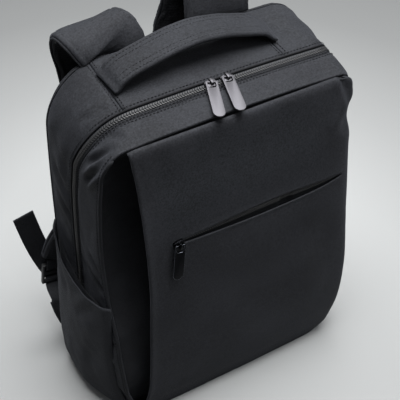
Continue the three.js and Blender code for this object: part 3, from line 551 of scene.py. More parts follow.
# A sewn edge turns down into its seam within a millimetre or two.
fold = {"marks": [0.0, 0.45, 0.95, 1.6, 2.6], "drops": [2.0, 0.95, 0.4, 0.12, 0.0]}


def foldDown(distance):
    return -np.interp(distance, fold["marks"], fold["drops"])


def foldedMarks(length, spacing):
    near = np.array(fold["marks"])
    inner = np.linspace(near[-1], length - near[-1], max(3, round(length / spacing)))
    return np.concatenate([near[:-1], inner, (length - near[:-1])[::-1]])


bodyCreases = [
    # upper left corner, falling from the handle's foot
    ((-100, 20, 374), (-138, 36, 318), 9, 2.6),
    ((-112, -4, 366), (-142, 12, 300), 7, 2.0),
    ((-102, -4, 371), (-126, 6, 352), 4, 3.4),
    ((-112, -12, 364), (-128, -2, 340), 4, 2.6),
    # left side above the pocket
    ((-147, 40, 262), (-147, -14, 205), 6, 2.8),
    ((-147, 28, 232), (-147, -16, 188), 5, 2.2),
    ((-147, 50, 296), (-146, 6, 258), 8, 2.0),
    ((-146, 20, 320), (-146, 4, 250), 7, 1.6),
    # gusset beside the mouth
    ((-146, -22, 200), (-146, -50, 180), 4, 3.0),
    ((-146, -22, 222), (-146, -46, 206), 4, 2.6),
    ((-147, -30, 160), (-147, -60, 144), 4, 2.0),
    ((-146, -30, 136), (-143, -66, 118), 4.0, 3.4),
    ((-144, -34, 104), (-139, -70, 84), 4.0, 3.4),
    ((-140, -38, 70), (-133, -70, 52), 4.0, 3.2),
    # the gathers at the mouth's upper corner
    ((-140, -24, 330), (-124, -46, 352), 3.6, 4.2),
    ((-142, -26, 312), (-134, -48, 336), 3.6, 4.2),
    ((-120, -22, 358), (-108, -50, 362), 4.5, 1.6),
    # right shoulder
    ((120, 30, 382), (150, -10, 355), 9, 2.0),
    ((100, 46, 386), (112, 4, 376), 8, 1.8),
    ((146, 40, 300), (146, -20, 250), 10, 2.2),
    ((146, 20, 240), (146, -30, 200), 9, 2.0),
    # top, beside the handle
    ((20, 30, 386), (95, -2, 378), 12, 1.4),
    ((-90, 6, 377), (-20, -4, 376), 9, 1.3),
]


# How the cloth stands off the body: swollen between seams, pulled in at them, rippled and creased.
drape = {
    "puff": 1.6, "puffReach": 14, "pinch": 1.0, "pinchReach": 3.0, "flatFoot": 30,
    "ripple": 1.7, "ripples": [(1.0, 52, 3, 0.0), (0.35, 17, 2, 7.3)], "edgeReach": 6, "edgeShare": 0.3,
}


def bodyLift(along, y, seams, puff=drape["puff"], ripple=drape["ripple"]):
    points = bodyPoint(along, y)
    near = np.min([np.abs(y - seam) for seam in seams], axis=0)
    lift = puff * (0.6 - np.exp(-near / drape["puffReach"]))
    lift += pinched(near, drape["pinch"], drape["pinchReach"])
    calm = np.clip(points[..., 2] / drape["flatFoot"], 0, 1)
    return lift + (ripple * rippled(points, drape["ripples"]) + creased(points, bodyCreases)) * calm


def backLine(along):
    return np.full(np.shape(along), float(bag["backSeam"]))


def zipBackLine(along):
    return seamY(1, along)


def zipFrontLine(along):
    return zipBackLine(along) - bag["zipBand"]


def edgeLine(along):
    return seamY(2, along)


# seams and their stitch rows as marks round the outline
panel = {
    "spacing": 3.0, "baseSeam": 1.55, "topSeam": 3.9, "rightTopSeam": 4.27,
    "rightStitch": 0.03, "leftStitch": 0.035,
}


def bodyPanel(name, start, stop, behind, before, finish, slot, node, **shape):
    step = 0.1
    fine = evenly(start, stop, step)
    length = step * (len(fine) - 1)
    run = foldedMarks(length, panel["spacing"])
    along = np.interp(run, np.linspace(0, length, len(fine)), fine)
    wide = float(np.mean(behind(along) - before(along)))
    share = foldedMarks(wide, panel["spacing"]) / wide
    y = behind(along)[:, None] * (1 - share) + before(along)[:, None] * share
    grid = along[:, None] + 0 * y
    lift = bodyLift(grid, y, [behind(grid), before(grid)], **shape)
    across = np.minimum(share, 1 - share)[None, :] * wide
    ends = np.minimum(run, length - run)[:, None]
    held = np.clip(np.minimum(across, ends) / drape["edgeReach"], drape["edgeShare"], 1)
    lift = lift * held + foldDown(across) + foldDown(ends)
    piece = clothPiece(name, bodyAt(grid, y, lift), bag["cloth"], flip=True)
    return place(piece, finish, slot, [node])


def makeBody():
    low, high, right = panel["baseSeam"], 10 - panel["topSeam"], panel["rightTopSeam"]
    bodyPanel("basePanel", -low, low, backLine, edgeLine, "lining", "dark_cloth", "base_panel",
              puff=0.4, ripple=0.3)
    for name, node, start, stop in (
        ("sidePanelRight", "side_panel_right", low, right),
        ("topPanel", "top_panel", right, high),
        ("sidePanelLeft", "side_panel_left", high, 10 - low),
    ):
        bodyPanel(name, start, stop, backLine, zipBackLine, "shell", "cloth", node)
    bodyPanel("frontGusset", low, 10 - low, zipFrontLine, edgeLine, "shell", "cloth", "front_gusset",
              puff=1.0)
    share, rows = np.linspace(0, 1, 60), []
    for seam, shift in ((right, panel["rightStitch"]), (high, panel["leftStitch"])):
        for side in (-1, 1):
            at = seam + side * shift + 0 * share
            start = bag["backSeam"] - 2
            y = start + (zipBackLine(at) + 3 - start) * share
            rows.append((bodyAt(at, y, 0.5), bodyNormal(at, y)))
    place(stitching("topSeamStitches", rows), "thread", "cloth")


makeBody()
print("body panels made")

mainZip = {
    "tapeThick": 0.9, "tapeDepths": [2.47, 1.17, 1.04, 1.04, 1.04, 0.91, 1.69],
    "coilFromBack": 5.8, "coilWide": 3.1, "coilTall": 1.4, "coilDepth": 0.5, "pitch": 2.7, "slant": 0.6,
    "cordRadius": 1.0,
    # from the zip's back seam, lift
    "stitchRows": [(-bag["zipBand"] - 2.6, 0.3), (3.4, 0.5), (1.6 - bag["zipBand"], -0.7)],
}


def makeMainZip():
    low = panel["baseSeam"]
    along = evenly(low, 10 - low, 3)
    depths = np.array(mainZip["tapeDepths"])
    y = zipBackLine(along)[:, None] - bag["zipBand"] * np.linspace(0, 1, len(depths))
    grid = bodyAt(along[:, None] + 0 * y, y, -depths[None, :] + 0 * y)
    place(clothPiece("mainZipTape", grid, mainZip["tapeThick"], flip=True), "tape", "zip", ["main_zip"])
    fine = evenly(low + 0.1, 9.9 - low, 1.5)
    for label, side in (("Back", 1), ("Front", -1)):
        middle = zipBackLine(fine) - mainZip["coilFromBack"] + side * mainZip["coilWide"] / 2
        path, out = bodyAt(fine, middle, -mainZip["coilDepth"]), bodyNormal(fine, middle)
        coil = coilRibs("mainZipCoil" + label, path, out, mainZip["pitch"], mainZip["coilWide"],
                        mainZip["coilTall"], side * mainZip["slant"])
        place(coil, "coil", "zip")
    seam = zipBackLine(fine)
    # painted shade: the raised cord along the seam is real, but its near-black thread finish stands for the
    # shadow gap between the panel's edge and the tape
    cord = piping("zipSeamPipingPaintedShade", bodyAt(fine, seam + 0.2, -0.5), mainZip["cordRadius"])
    place(cord, "thread", "dark_cloth")
    rows = [(bodyAt(fine, seam + offset, lift), bodyNormal(fine, seam + offset))
            for offset, lift in mainZip["stitchRows"]]
    place(stitching("zipStitches", rows), "thread", "zip")


makeMainZip()
print("main zip made")

frontPanel = {
    "spacing": 3.0, "squareness": 6, "thickness": 1.6, "tuck": 2.4, "lowMark": 1.16,
    "slitHeight": 243, "slitLeft": -81, "slitRight": 128, "slitWide": 13.5, "slitReach": 9,
    "ripples": [(1.1, 95, 2, 3.1), (0.12, 26, 2, 9.7)],
    "roll": 1.5, "rollReach": 5, "topPinch": (1.6, 5), "sidePinch": (1.2, 4),
    "lipRolls": (0.5, 0.8), "lipReaches": (5, 2.6),  # upper, lower
}
faceCreases = [
    ((126, -64, 362), (138, -62, 312), 4.5, 2.6),
    ((146, -50, 326), (132, -74, 290), 12, 4.2),
    ((-96, -62, 352), (-104, -72, 300), 9, -1.2),
    ((-60, -70, 330), (60, -74, 318), 26, 1.0),
    ((-20, -80, 120), (110, -80, 70), 34, 1.2),
    ((100, -80, 200), (128, -78, 90), 18, 1.2),
]


def facePoint(z, x01):
    along = alongAtHeight(z)
    edge = bodyPoint(along, edgeLine(along))
    height = z / bag["height"]
    face = -depthOfBag * smoothAt(faceRows, 1, height)
    depth = np.maximum(edge[..., 1] - 0.3 - face, 3)
    left = np.maximum(bag["width"] * smoothAt(faceRows, 2, height), leftAt(z, edge[..., 1]) + 1)
    right = edge[..., 0]
    share = np.clip(-x01, 0, 1)
    turn = np.clip(x01, 0, 1) * math.pi / 2
    power = 2 / frontPanel["squareness"]
    x = np.where(x01 < 0, left * share, right * np.sin(turn) ** power)
    y = edge[..., 1] - 0.3 - depth * np.where(x01 < 0, 1 - 0.03 * share ** 2, np.cos(turn) ** power)
    return np.stack([x, y, z + 0 * x], -1)


heightMarks = np.linspace(1.0, 4.0, 4000)
heightOfMark = bodyPoint(heightMarks, seamY(2, heightMarks))[:, 2]


def alongAtHeight(z):
    return np.interp(z, heightOfMark, heightMarks)


def faceColumns():
    # even steps of length over the flat part and round the right side
    marks = np.concatenate([np.linspace(-1, 0, 60)[:-1], np.linspace(0, 1, 4000)])
    run = runAlong(facePoint(np.full(len(marks), 200.0), marks))
    return np.interp(np.linspace(0, run[-1], round(run[-1] / frontPanel["spacing"]) + 1), run, marks)


def slitGap(x):
    share = np.clip((x - frontPanel["slitLeft"]) / (frontPanel["slitRight"] - frontPanel["slitLeft"]), 0, 1)
    lens = 0.45 + 0.55 * np.sin(math.pi * share ** 1.4) ** 0.9
    return frontPanel["slitWide"] * lens * (4 * share * (1 - share)) ** 0.35 / 2


def makeFrontPanel():
    columns, slit, spacing = faceColumns(), frontPanel["slitHeight"], frontPanel["spacing"]
    low, high = heightOfMark[np.searchsorted(heightMarks, frontPanel["lowMark"])], heightOfMark[-1]
    under = np.linspace(low, slit, round((slit - low) / spacing) + 1)
    over = np.linspace(slit, high, round((high - slit) / spacing) + 1)
    z = np.concatenate([under, over])[:, None] + 0 * columns
    upper = (np.arange(len(z)) >= len(under))[:, None]
    gap = slitGap(facePoint(z, columns[None, :] + 0 * z)[..., 0])
    fromLip = np.abs(z - slit)
    parted = gap * np.exp(-fromLip / frontPanel["slitReach"])
    z = z + np.where(upper, parted, -parted)
    points = facePoint(z, columns[None, :] + 0 * z)
    out = unit(np.cross(np.gradient(points, axis=1), np.gradient(points, axis=0)))
    fromTop, fromSide = high - points[..., 2], np.abs(columns[None, :] - 1) * 60
    fromFree = points[..., 0] - points[:, :1, 0]
    lift = rippled(points, frontPanel["ripples"]) + creased(points, faceCreases)
    lift += frontPanel["roll"] * np.exp(-(fromFree / frontPanel["rollReach"]) ** 2)
    lift += pinched(fromTop, *frontPanel["topPinch"]) + pinched(fromSide, *frontPanel["sidePinch"])
    reach = np.where(upper, *frontPanel["lipReaches"])
    lift += (gap > 0.2) * np.exp(-(fromLip / reach) ** 2) * np.where(upper, *frontPanel["lipRolls"])
    lift += foldDown(fromTop) * 0.8
    parts = gap[len(under)] > 0.01
    skip = np.zeros((len(z) - 1, len(columns) - 1), bool)
    skip[len(under) - 1] = parts[:-1] | parts[1:]
    points = points + out * lift[..., None]
    # the sewn edge goes under the gusset's
    points[:, -1] += [-frontPanel["tuck"] / 2, frontPanel["tuck"], 0]
    piece = clothPiece("frontPanel", points, frontPanel["thickness"], skip)
    place(piece, "shell", "cloth", ["front_panel"])
    return points, out


facePoints, faceOut = makeFrontPanel()
print("front panel made")


frontZip = {
    "tapeSunk": 4.6, "tapeThick": 0.8, "tapeMarks": (-11, -4, 0, 4, 11),
    "coilSunk": 2.4, "coilUp": 3.0, "coilWide": 2.4, "coilTall": 1.6, "pitch": 2.5, "slant": 0.6,
}


def makeFrontZip():
    middle = np.argmin(np.abs(facePoints[:, :, 2] - frontPanel["slitHeight"]), axis=0)
    line, out = (np.array([table[i, j] for j, i in enumerate(middle)]) for table in (facePoints, faceOut))
    use = (line[:, 0] > frontPanel["slitLeft"] - 2) & (line[:, 0] < frontPanel["slitRight"] + 2)
    line, out = line[use], out[use]
    line[:, 2] = frontPanel["slitHeight"]
    back = line - out * frontZip["tapeSunk"]
    tape = np.stack([back + np.array([0, 0, w]) for w in frontZip["tapeMarks"]], 1)
    # painted shade: the tape takes the near-black thread finish, standing for the shade deep in the slit
    place(clothPiece("frontZipTape", tape, frontZip["tapeThick"]), "thread", "zip", ["front_zip"])
    for label, side in (("Upper", 1), ("Lower", -1)):
        up = side * frontZip["coilWide"] / 2 + frontZip["coilUp"]
        row = line - out * frontZip["coilSunk"] + np.array([0, 0, up])
        coil = coilRibs("frontZipCoil" + label, row, out, frontZip["pitch"], frontZip["coilWide"],
                        frontZip["coilTall"], side * frontZip["slant"])
        place(coil, "darkCoil", "zip")


makeFrontZip()


frontWall = {
    "low": 4, "high": 352, "behind": 8, "inset": 4.0, "thickness": 1.2,
    "ripples": [(2.2, 45, 3, 5.5), (0.9, 18, 2, 1.5)],
}


def makeFrontWall():
    z, share = np.linspace(frontWall["low"], frontWall["high"], 110), np.linspace(-1, 1, 90)
    along = alongAtHeight(z)
    y = edgeLine(along) + frontWall["behind"]
    right = bodyAt(along, y, -frontWall["inset"])[:, 0]
    left = leftAt(z, y, -frontWall["inset"])
    x = np.where(share[None, :] < 0, -left[:, None] * share[None, :], right[:, None] * share[None, :])
    grid = np.stack([x, y[:, None] + 0 * x, z[:, None] + 0 * x], -1)
    grid[..., 1] += rippled(grid, frontWall["ripples"])
    place(clothPiece("frontWall", grid, frontWall["thickness"]), "lining", "dark_cloth", ["front_wall"])


makeFrontWall()


mouth = {"start": 1.95, "stop": 3.6, "cord": 1.7, "inset": 1.2, "sunk": 0.6, "stitchesBack": 3.4}


def makeMouthBinding():
    along = evenly(mouth["start"], mouth["stop"], 2)
    y = edgeLine(along)
    path = bodyAt(10 - along, y - mouth["inset"], -mouth["sunk"])
    place(piping("mouthBinding", path, mouth["cord"]), "lining", "dark_cloth", ["mouth_binding"])
    row = (bodyAt(10 - along, y + mouth["stitchesBack"], 0.5), bodyNormal(10 - along, y))
    place(stitching("mouthStitches", [row]), "thread", "dark_cloth")


makeMouthBinding()

sidePocket = {
    "height": 207, "bulge": 10, "gap": 2.8, "floor": 1.7, "ends": 2.5, "thickness": 1.6, "hemShare": 0.05,
    "ripples": [(1.6, 48, 3, 2.2), (0.5, 16, 2, 4.4)], "rimRoll": 0.8,
    # these three place the near-black sheet painted as shade behind the pocket's rim
    "shadeSheetGap": 2.4, "shadeSheetBulge": 0.4, "shadeSheetThick": 0.4,
}
rimRows = np.array([[0, 1.0], [0.2, 0.92], [0.42, 0.855], [0.68, 0.815], [1, 0.825]])


def pocketCreases(side):
    return [
        ((side * 147, -46, 168), (side * 150, -8, 128), 7, 1.8),
        ((side * 147, -50, 120), (side * 152, -20, 60), 9, 1.5),
        ((side * 147, 44, 176), (side * 150, 10, 140), 8, 1.6),
    ]


def makeSidePocket(name, right, node):
    depth, share = np.linspace(0, 1, 44), np.linspace(0, 1, 60)
    start, stop = bag["backSeam"] - sidePocket["ends"], float(seamY(2, 2.4)) + sidePocket["ends"]
    y = start + (stop - start) * depth
    foot, head = (halfOutline(np.full(len(y), mark), y, right)[1] for mark in (2.0, 3.0))
    rim = sidePocket["height"] * smoothAt(rimRows, 1, depth)
    along = sidePocket["floor"] + (2 + (rim - foot) / (head - foot) - sidePocket["floor"])[:, None] * share
    grid = y[:, None] + 0 * along
    lap = along if right else 10 - along
    points = bodyPoint(lap, grid)
    arch = np.sin(math.pi * depth)[:, None].clip(0)
    stand = sidePocket["bulge"] * arch ** 0.8 * share ** 0.7
    calm = arch ** 0.5 * np.minimum(1, share * 5)
    lift = sidePocket["gap"] * np.clip(arch * 6, 0.15, 1) + stand
    lift += calm * rippled(points, sidePocket["ripples"])
    lift += calm * creased(points, pocketCreases(1 if right else -1))
    below = (1 - share) * rim[:, None]
    lift += sidePocket["rimRoll"] * np.exp(-(below / 3) ** 2) * np.minimum(1, calm * 2)
    piece = clothPiece(name, bodyAt(lap, grid, lift), sidePocket["thickness"], flip=right)
    place(piece, "shell", "cloth", [node])
    # painted shade: a near-black sheet behind the rim stands for the shade in the pocket's gap
    within = slice(*np.flatnonzero(arch[:, 0] > 0.3)[[0, -1]])
    top = slice(int(len(share) * 0.7), -1)
    behind = sidePocket["shadeSheetGap"] + sidePocket["shadeSheetBulge"] * stand[within, top]
    shadeSheet = clothPiece(name + "Inside", bodyAt(lap[within, top], grid[within, top], behind),
                        sidePocket["shadeSheetThick"], flip=right)
    place(shadeSheet, "thread", "dark_cloth")
    hem, cut = int(np.argmin(np.abs(share - (1 - sidePocket["hemShare"])))), slice(2, -2)
    row = (bodyAt(lap[cut, hem], y[cut], lift[cut, hem] + 0.3), bodyNormal(lap[cut, hem], y[cut]))
    place(stitching(name + "Stitches", [row]), "thread", "cloth")


makeSidePocket("sidePocketRight", True, "side_pocket_right")
makeSidePocket("sidePocketLeft", False, "side_pocket_left")
print("pockets made")


# padded bands: handle and straps

def bandRings(path, across, width, thickness, count, wide=0.35, deep=0.55):
    forward = directions(path)
    side = np.array(across, float)
    side = unit(side - forward * np.sum(side * forward, -1, keepdims=True))
    up = unit(np.cross(forward, side))
    turn = (np.arange(count) + 0.5) / count * 2 * math.pi
    w = np.sign(np.cos(turn)) * np.abs(np.cos(turn)) ** wide
    d = np.sign(np.sin(turn)) * np.abs(np.sin(turn)) ** deep
    sideways = side[:, None] * (w[None, :, None] * width[:, None, None] / 2)
    upwards = up[:, None] * (d[None, :, None] * thickness[:, None, None] / 2)
    return path[:, None] + sideways + upwards, side, up


def fromPath(rings, path, *ways):
    return [np.sum((rings - path[:, None]) * way[:, None], -1) for way in ways]


handle = {
    "span": 186, "width": 37, "thickness": 8, "rise": 21, "y": 18, "seat": 1.2, "fat": 0.12,
    "edge": 4.6, "groove": 1.1, "grooveWide": 0.9, "rim": 0.6, "rimWide": 2.4, "hollow": 0.95,
    "rowGap": 5.5, "rowSunk": 0.45,
}
handleRows = np.array([
    [-0.5, 0], [-0.468, 0.02], [-0.44, 0.2], [-0.38, 0.44], [-0.26, 0.66], [-0.1, 0.92], [0.03, 1],
    [0.16, 0.88], [0.3, 0.6], [0.41, 0.34], [0.452, 0.1], [0.48, 0.01], [0.5, 0],
])


def makeHandle():
    count, width, y = 90, handle["width"], handle["y"]
    share = np.linspace(-0.5, 0.5, count)
    x = share * handle["span"]
    half = np.where(x > 0, *(halfOutline(np.full(count, 4.0), y, right)[0] for right in (True, False)))
    along = np.clip(5 - x / half, panel["topSeam"], 10 - panel["topSeam"])
    foot = 0.5 + 0.5 * np.clip((0.5 - np.abs(share)) / 0.05, 0, 1)
    thickness = handle["thickness"] * foot
    seat = bodyPoint(along, y)[:, 2] + handle["seat"]
    z = seat + thickness / 2 + smoothAt(handleRows, 1, share) * handle["rise"]
    path = resampled(np.stack([x, np.full(count, float(y)), z, thickness], -1), 2.2)
    thickness, path = path[:, 3], path[:, :3]
    across = unit(bodyPoint(5, y + 18) - bodyPoint(5, y - 18))[None, :] + 0 * path
    fat = 1 + handle["fat"] * rippleAt(path, 30, 2, 6.1)
    rings, side, up = bandRings(path, across, np.full(len(path), float(width)), thickness * fat, 40)
    # rolled edges: the middle of the band sits lower than its two rims
    offset, height = fromPath(rings, path, side, up)
    fromRim = np.abs(offset) - width / 2
    rim = np.exp(-((fromRim + handle["rimWide"]) / handle["rimWide"]) ** 2)
    groove = np.exp(-((fromRim + handle["edge"]) / handle["grooveWide"]) ** 2)
    fade = np.clip((0.5 - np.abs(path[:, 0] / handle["span"])) / 0.06, 0, 1)[:, None]
    top = np.sign(np.mean(up[:, 2]))
    under = np.clip(-top * height, 0, None) * np.clip(0.35 + (np.abs(offset) / width * 2) ** 2, 0, 1)
    swell = np.sign(height) * (rim * handle["rim"] - groove * handle["groove"]) * fade
    rings += up[:, None] * (swell + top * under * handle["hollow"] * fade)[..., None]
    piece = loftPiece("handleBand", rings)
    place(piece, "shell", "cloth", ["handle"])
    rows, inner = [], slice(4, -4)
    for w in (-1, 1):
        for inset, sunk in ((handle["edge"], handle["rowSunk"]), (handle["edge"] + handle["rowGap"], 0)):
            shift = side * w * (width / 2 - inset)
            for face in (1, -1):
                lift = up * face * (thickness[:, None] / 2 * 0.98 - 0.1 - sunk)
                rows.append(((path + shift + lift)[inner], (up * face)[inner]))
    place(stitching("handleStitches", rows), "thread", "cloth")


makeHandle()
print("handle made")

cover = {"quality": 4, "mass": 0.25, "stiffness": 12, "bending": 0.15, "pressure": 3.0, "frames": 16}
strapPuff = {**cover, "extra": 0.012, "cap": 2.2}


# Cloth simulation: the cover swells between its sewn rows, which stay where they are.
def puffed(piece, settings, sewn):
    before = np.array([vertex.co[:] for vertex in piece.data.vertices])
    copy = piece.copy()
    copy.data = piece.data.copy()
    copy.modifiers.clear()
    bpy.context.scene.collection.objects.link(copy)
    held = copy.vertex_groups.new(name="sewn")
    held.add([int(n) for n in np.flatnonzero(sewn.ravel())], 1.0, "REPLACE")
    cloth = copy.modifiers.new("cloth", "CLOTH")
    cloth.settings.quality = settings["quality"]
    cloth.settings.mass = settings["mass"]
    cloth.settings.use_pressure = True
    cloth.settings.uniform_pressure_force = settings["pressure"]
    cloth.settings.effector_weights.gravity = 0
    cloth.settings.shrink_min = -settings["extra"]
    cloth.settings.vertex_group_mass = "sewn"
    cloth.settings.tension_stiffness = cloth.settings.compression_stiffness = settings["stiffness"]
    cloth.settings.bending_stiffness = settings["bending"]
    cloth.collision_settings.use_collision = False
    cloth.point_cache.frame_start, cloth.point_cache.frame_end = 1, settings["frames"]
    for number in range(1, settings["frames"] + 1):
        bpy.context.scene.frame_set(number)
    shaped = copy.evaluated_get(bpy.context.evaluated_depsgraph_get())
    after = np.array([vertex.co[:] for vertex in shaped.data.vertices])
    bpy.data.objects.remove(copy)
    bpy.context.scene.frame_set(1)
    move = np.nan_to_num(after - before)
    size = np.linalg.norm(move, axis=1, keepdims=True)
    move *= np.minimum(1, settings["cap"] * mm / np.maximum(size, 1e-9))
    piece.data.vertices.foreach_set("co", (before + move).ravel())
    piece.data.update()
    print(piece.name, "puffed by up to", round(float(size.max()) / mm, 1), "mm before its limit")


strap = {
    "width": 74, "endWidth": 35, "thickness": 12, "reach": 44, "twist": 0.08, "rootDrop": 2.4,
    "sides": 48, "meshFrom": 0.4, "edge": 6, "groove": 1.1, "grooveWide": 1.3, "cord": 1.5,
    "swell": 0.8, "swellReach": 18, "ripple": 0.9, "fat": 0.06,
}
crestRows = [  # left, right, reach, rise, thickness
    (0.415, 0.385, 0.045, 0, 0.27), (0.415, 0.385, 0.1, 0.3, 0.6), (0.45, 0.4, 0.26, 0.74, 0.95),
    (0.48, 0.4, 0.48, 1, 1), (0.5, 0.37, 0.74, 0.93, 1),
]
fallRows = [  # left, right, reach, height, taper
    (0.485, 0.32, 0.95, 0.995, 0), (0.45, 0.29, 1.04, 0.93, 0), (0.43, 0.295, 1.08, 0.84, 0.05),
    (0.435, 0.34, 1.08, 0.74, 0.2), (0.47, 0.42, 1.06, 0.64, 0.45), (0.535, 0.52, 1.03, 0.55, 0.75),
    (0.61, 0.61, 1.0, 0.47, 0.95), (0.74, 0.74, 0.99, 0.39, 1), (0.84, 0.84, 0.98, 0.338, 1),
    (0.887, 0.887, 0.97, 0.297, 1),
]


def strapStations(side, loopRise):
    pick, half = (0 if side < 0 else 1), bag["width"] / 2
    root = bag["height"] - strap["rootDrop"]
    shapes = [(row, root + row[3] * loopRise, strap["width"], strap["thickness"] * row[4])
              for row in crestRows]
    for row in fallRows:
        width = strap["width"] + (strap["endWidth"] - strap["width"]) * row[4]
        shapes.append((row, bag["height"] * row[3], width, strap["thickness"]))
    return np.array([
        (side * half * row[pick], bag["backSeam"] + row[2] * strap["reach"], z, width, thickness)
        for row, z, width, thickness in shapes])


def makeStrap(name, side, loopRise, node):
    fine = smoothPath(strapStations(side, loopRise), 2.6)
    path, width, thickness = fine[:, :3], fine[:, 3], fine[:, 4]
    run, sides = runAlong(path), strap["sides"]
    twist = np.clip(np.minimum(run - 6, run[-1] - run) / 14, 0, 1) * strap["twist"]
    across = np.stack([1 + 0 * twist, 0 * twist, -side * twist], -1)
    full = thickness * (1 + strap["fat"] * rippleAt(path, 35, 2, side * 3.0))
    rings, sideways, up = bandRings(path, across, width, full, sides, 0.3, 0.5)
    offset, height = fromPath(rings, path, sideways, up)
    fromEdge = width[:, None] / 2 - np.abs(offset)
    groove = np.exp(-((fromEdge - strap["edge"]) / strap["grooveWide"]) ** 2)
    groove *= np.clip(thickness / strap["thickness"] - 0.3, 0, 1)[:, None]
    swell = np.clip(fromEdge / strap["swellReach"], 0, 1)
    swell *= strap["swell"] + strap["ripple"] * rippleAt(rings, 40, 2, 8.8)
    rings += up[:, None] * (np.sign(height) * (swell - groove * strap["groove"]))[..., None]
    turn = (np.arange(sides) + 0.5) / sides * 2 * math.pi
    piece = loftPiece(name, rings, split=np.sin(turn) > strap["meshFrom"])
    place(piece, ["shell", "mesh"], "dark_cloth", [node])
    puffed(piece, strapPuff, groove > 0.5)
    rows, cut = [], slice(5, -3)
    for w in (-1, 1):
        for face in (1, -1):
            shift = sideways * (w * (width / 2 - strap["edge"]))[:, None]
            at = path + shift + up * (face * (thickness / 2 * 0.9 - 0.7))[:, None]
            rows.append((at[cut], (up * face)[cut]))
    place(stitching(name + "Stitches", rows), "thread", "dark_cloth")
    for w, label in ((-1, "A"), (1, "B")):
        edge = path + sideways * (w * width / 2)[:, None]
        place(piping(name + "Piping" + label, edge[3:-2], strap["cord"]), "webbing", "dark_cloth")


makeStrap("shoulderStrapLeft", -1, 19, "shoulder_strap_left")
makeStrap("shoulderStrapRight", 1, 41, "shoulder_strap_right")
print("shoulder straps made")

backPuff = {**cover, "extra": 0.015, "cap": 2.6}
backPad = {
    "thickness": 9, "inset": 0.6, "rim": 2, "cover": 2.0, "puff": 1.2, "ripple": 0.8, "cord": 1.0,
    "channels": [-0.42, 0.42], "across": [110, 250], "channelDeep": 3.2,  # share of the half width, height
}


def makeBackPanel():
    seam = float(bag["backSeam"])
    along = evenly(1.0, 4.0, 3.2, seam)
    edge = bodyAt(along, seam, -backPad["inset"])
    left = -leftAt(edge[:, 2], seam, -backPad["inset"])
    share = np.sin(np.linspace(-math.pi / 2, math.pi / 2, 91)) * 0.35 + np.linspace(-1, 1, 91) * 0.65
    x = np.where(share[None, :] < 0, left[:, None] * share, edge[:, 0][:, None] * share)
    z = edge[:, 2][:, None] + 0 * x
    rise = np.sin(math.pi * np.linspace(0, 1, len(along))).clip(0) ** 0.35
    crown = np.sqrt(np.clip(1 - np.abs(share) ** 8, 0, 1))[None, :] * rise[:, None]
    out = backPad["rim"] + (backPad["thickness"] - backPad["rim"]) * crown
    points = np.stack([x, seam + 0.3 + out, z], -1)
    grooves = sum(np.exp(-((share[None, :] - c) / 0.03) ** 2) for c in backPad["channels"])
    grooves = grooves + sum(np.exp(-((z - c) / 4.5) ** 2) for c in backPad["across"])
    puff = crown * (backPad["puff"] + backPad["ripple"] * rippleAt(points, 45, 2, 1.1))
    points[..., 1] += puff - backPad["channelDeep"] * np.minimum(grooves, 1) * crown
    piece = clothPiece("backPanel", points, backPad["cover"], flip=True)
    place(piece, "mesh", "dark_cloth", ["back_panel"])
    sewn = grooves > 0.5
    sewn[:, [0, 1, -2, -1]] = sewn[[0, 1, -2, -1]] = True
    puffed(piece, backPuff, sewn)
    rim = bodyAt(evenly(1.2, 8.8, 3, seam), seam, -1.0) + [0, 0.6, 0]
    place(piping("backSeamPiping", rim, backPad["cord"]), "webbing", "dark_cloth")


makeBackPanel()
print("back panel made")


# Locks, sliders and tabs are the frame's own shapes with their edges rounded.
def roundedCopy(node, name, finish, slot, width, body="bag", steps=3, angle=30, rim=None):
    piece = bpy.data.objects.new(name, frame["nodes"][node].data.copy())
    bpy.context.scene.collection.objects.link(piece)
    piece.data.materials.clear()
    tidy = bmesh.new()
    tidy.from_mesh(piece.data)
    bmesh.ops.remove_doubles(tidy, verts=tidy.verts, dist=2e-5)
    bmesh.ops.dissolve_limit(tidy, angle_limit=math.radians(3), verts=tidy.verts, edges=tidy.edges)
    tidy.to_mesh(piece.data)
    tidy.free()
    edge = piece.modifiers.new("edges", "BEVEL")
    edge.width, edge.segments, edge.limit_method = width * mm, steps, "ANGLE"
    edge.angle_limit = math.radians(angle)
    edge.harden_normals = False
    piece.data.polygons.foreach_set("use_smooth", [True] * len(piece.data.polygons))
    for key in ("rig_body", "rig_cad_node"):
        if key in piece:
            del piece[key]
    place(piece, [finish, rim] if rim else finish, slot, [node], body)
    # the bevel faces take the rim finish when one is given: a painted highlight along the edge
    edge.material = 1 if rim else -1
    return piece


lock = {
    "lean": 0.15, "drop": 9, "height": 27, "thick": 4.6, "gap": 0.3,
    "webWide": 25, "webThick": 1.6, "tail": 69, "ribs": 9, "ribDeep": 0.16,
}
# the loop round the lock's upper bar: up, out
loopRows = [(0.805, 1), (0.344, 1), (0.233, 0.75), (0.178, 0), (0.233, -0.75), (0.344, -1), (0.805, -1)]
# the webbing's path through the lock: across, up, tail, out, over the strap
webRows = [
    (0, -0.5, 0, -1.09, 0), (0, -0.367, 0, -1.15, 0), (0, -0.267, 0, -0.88, 0), (0, -0.211, 0, 0, 0),
    (0, -0.156, 0, 0.88, 0), (-0.02, -0.056, 0, 1.15, 0), (-0.12, 0.1, 0, 1.8, 0), (-0.32, 0.42, 0, 2.45, 0),
    (-0.54, 0.5, 0.13, 1.4, 0.42), (-0.74, 0.5, 0.29, 1.4, 0.42), (-1.0, 0.5, 0.52, 1.45, 0.42),
    (-1.25, 0.5, 0.77, 1.6, 0.42), (-1.47, 0.5, 1, 1.75, 0.42),
]
anchor = {"height": 46, "size": 26, "wide": 31, "thick": 3.2, "rows": [
    (0.905, 1.1, 0, 1), (0.928, 5, 0.5, 0.98), (0.94, 10, 1, 0.96)]}


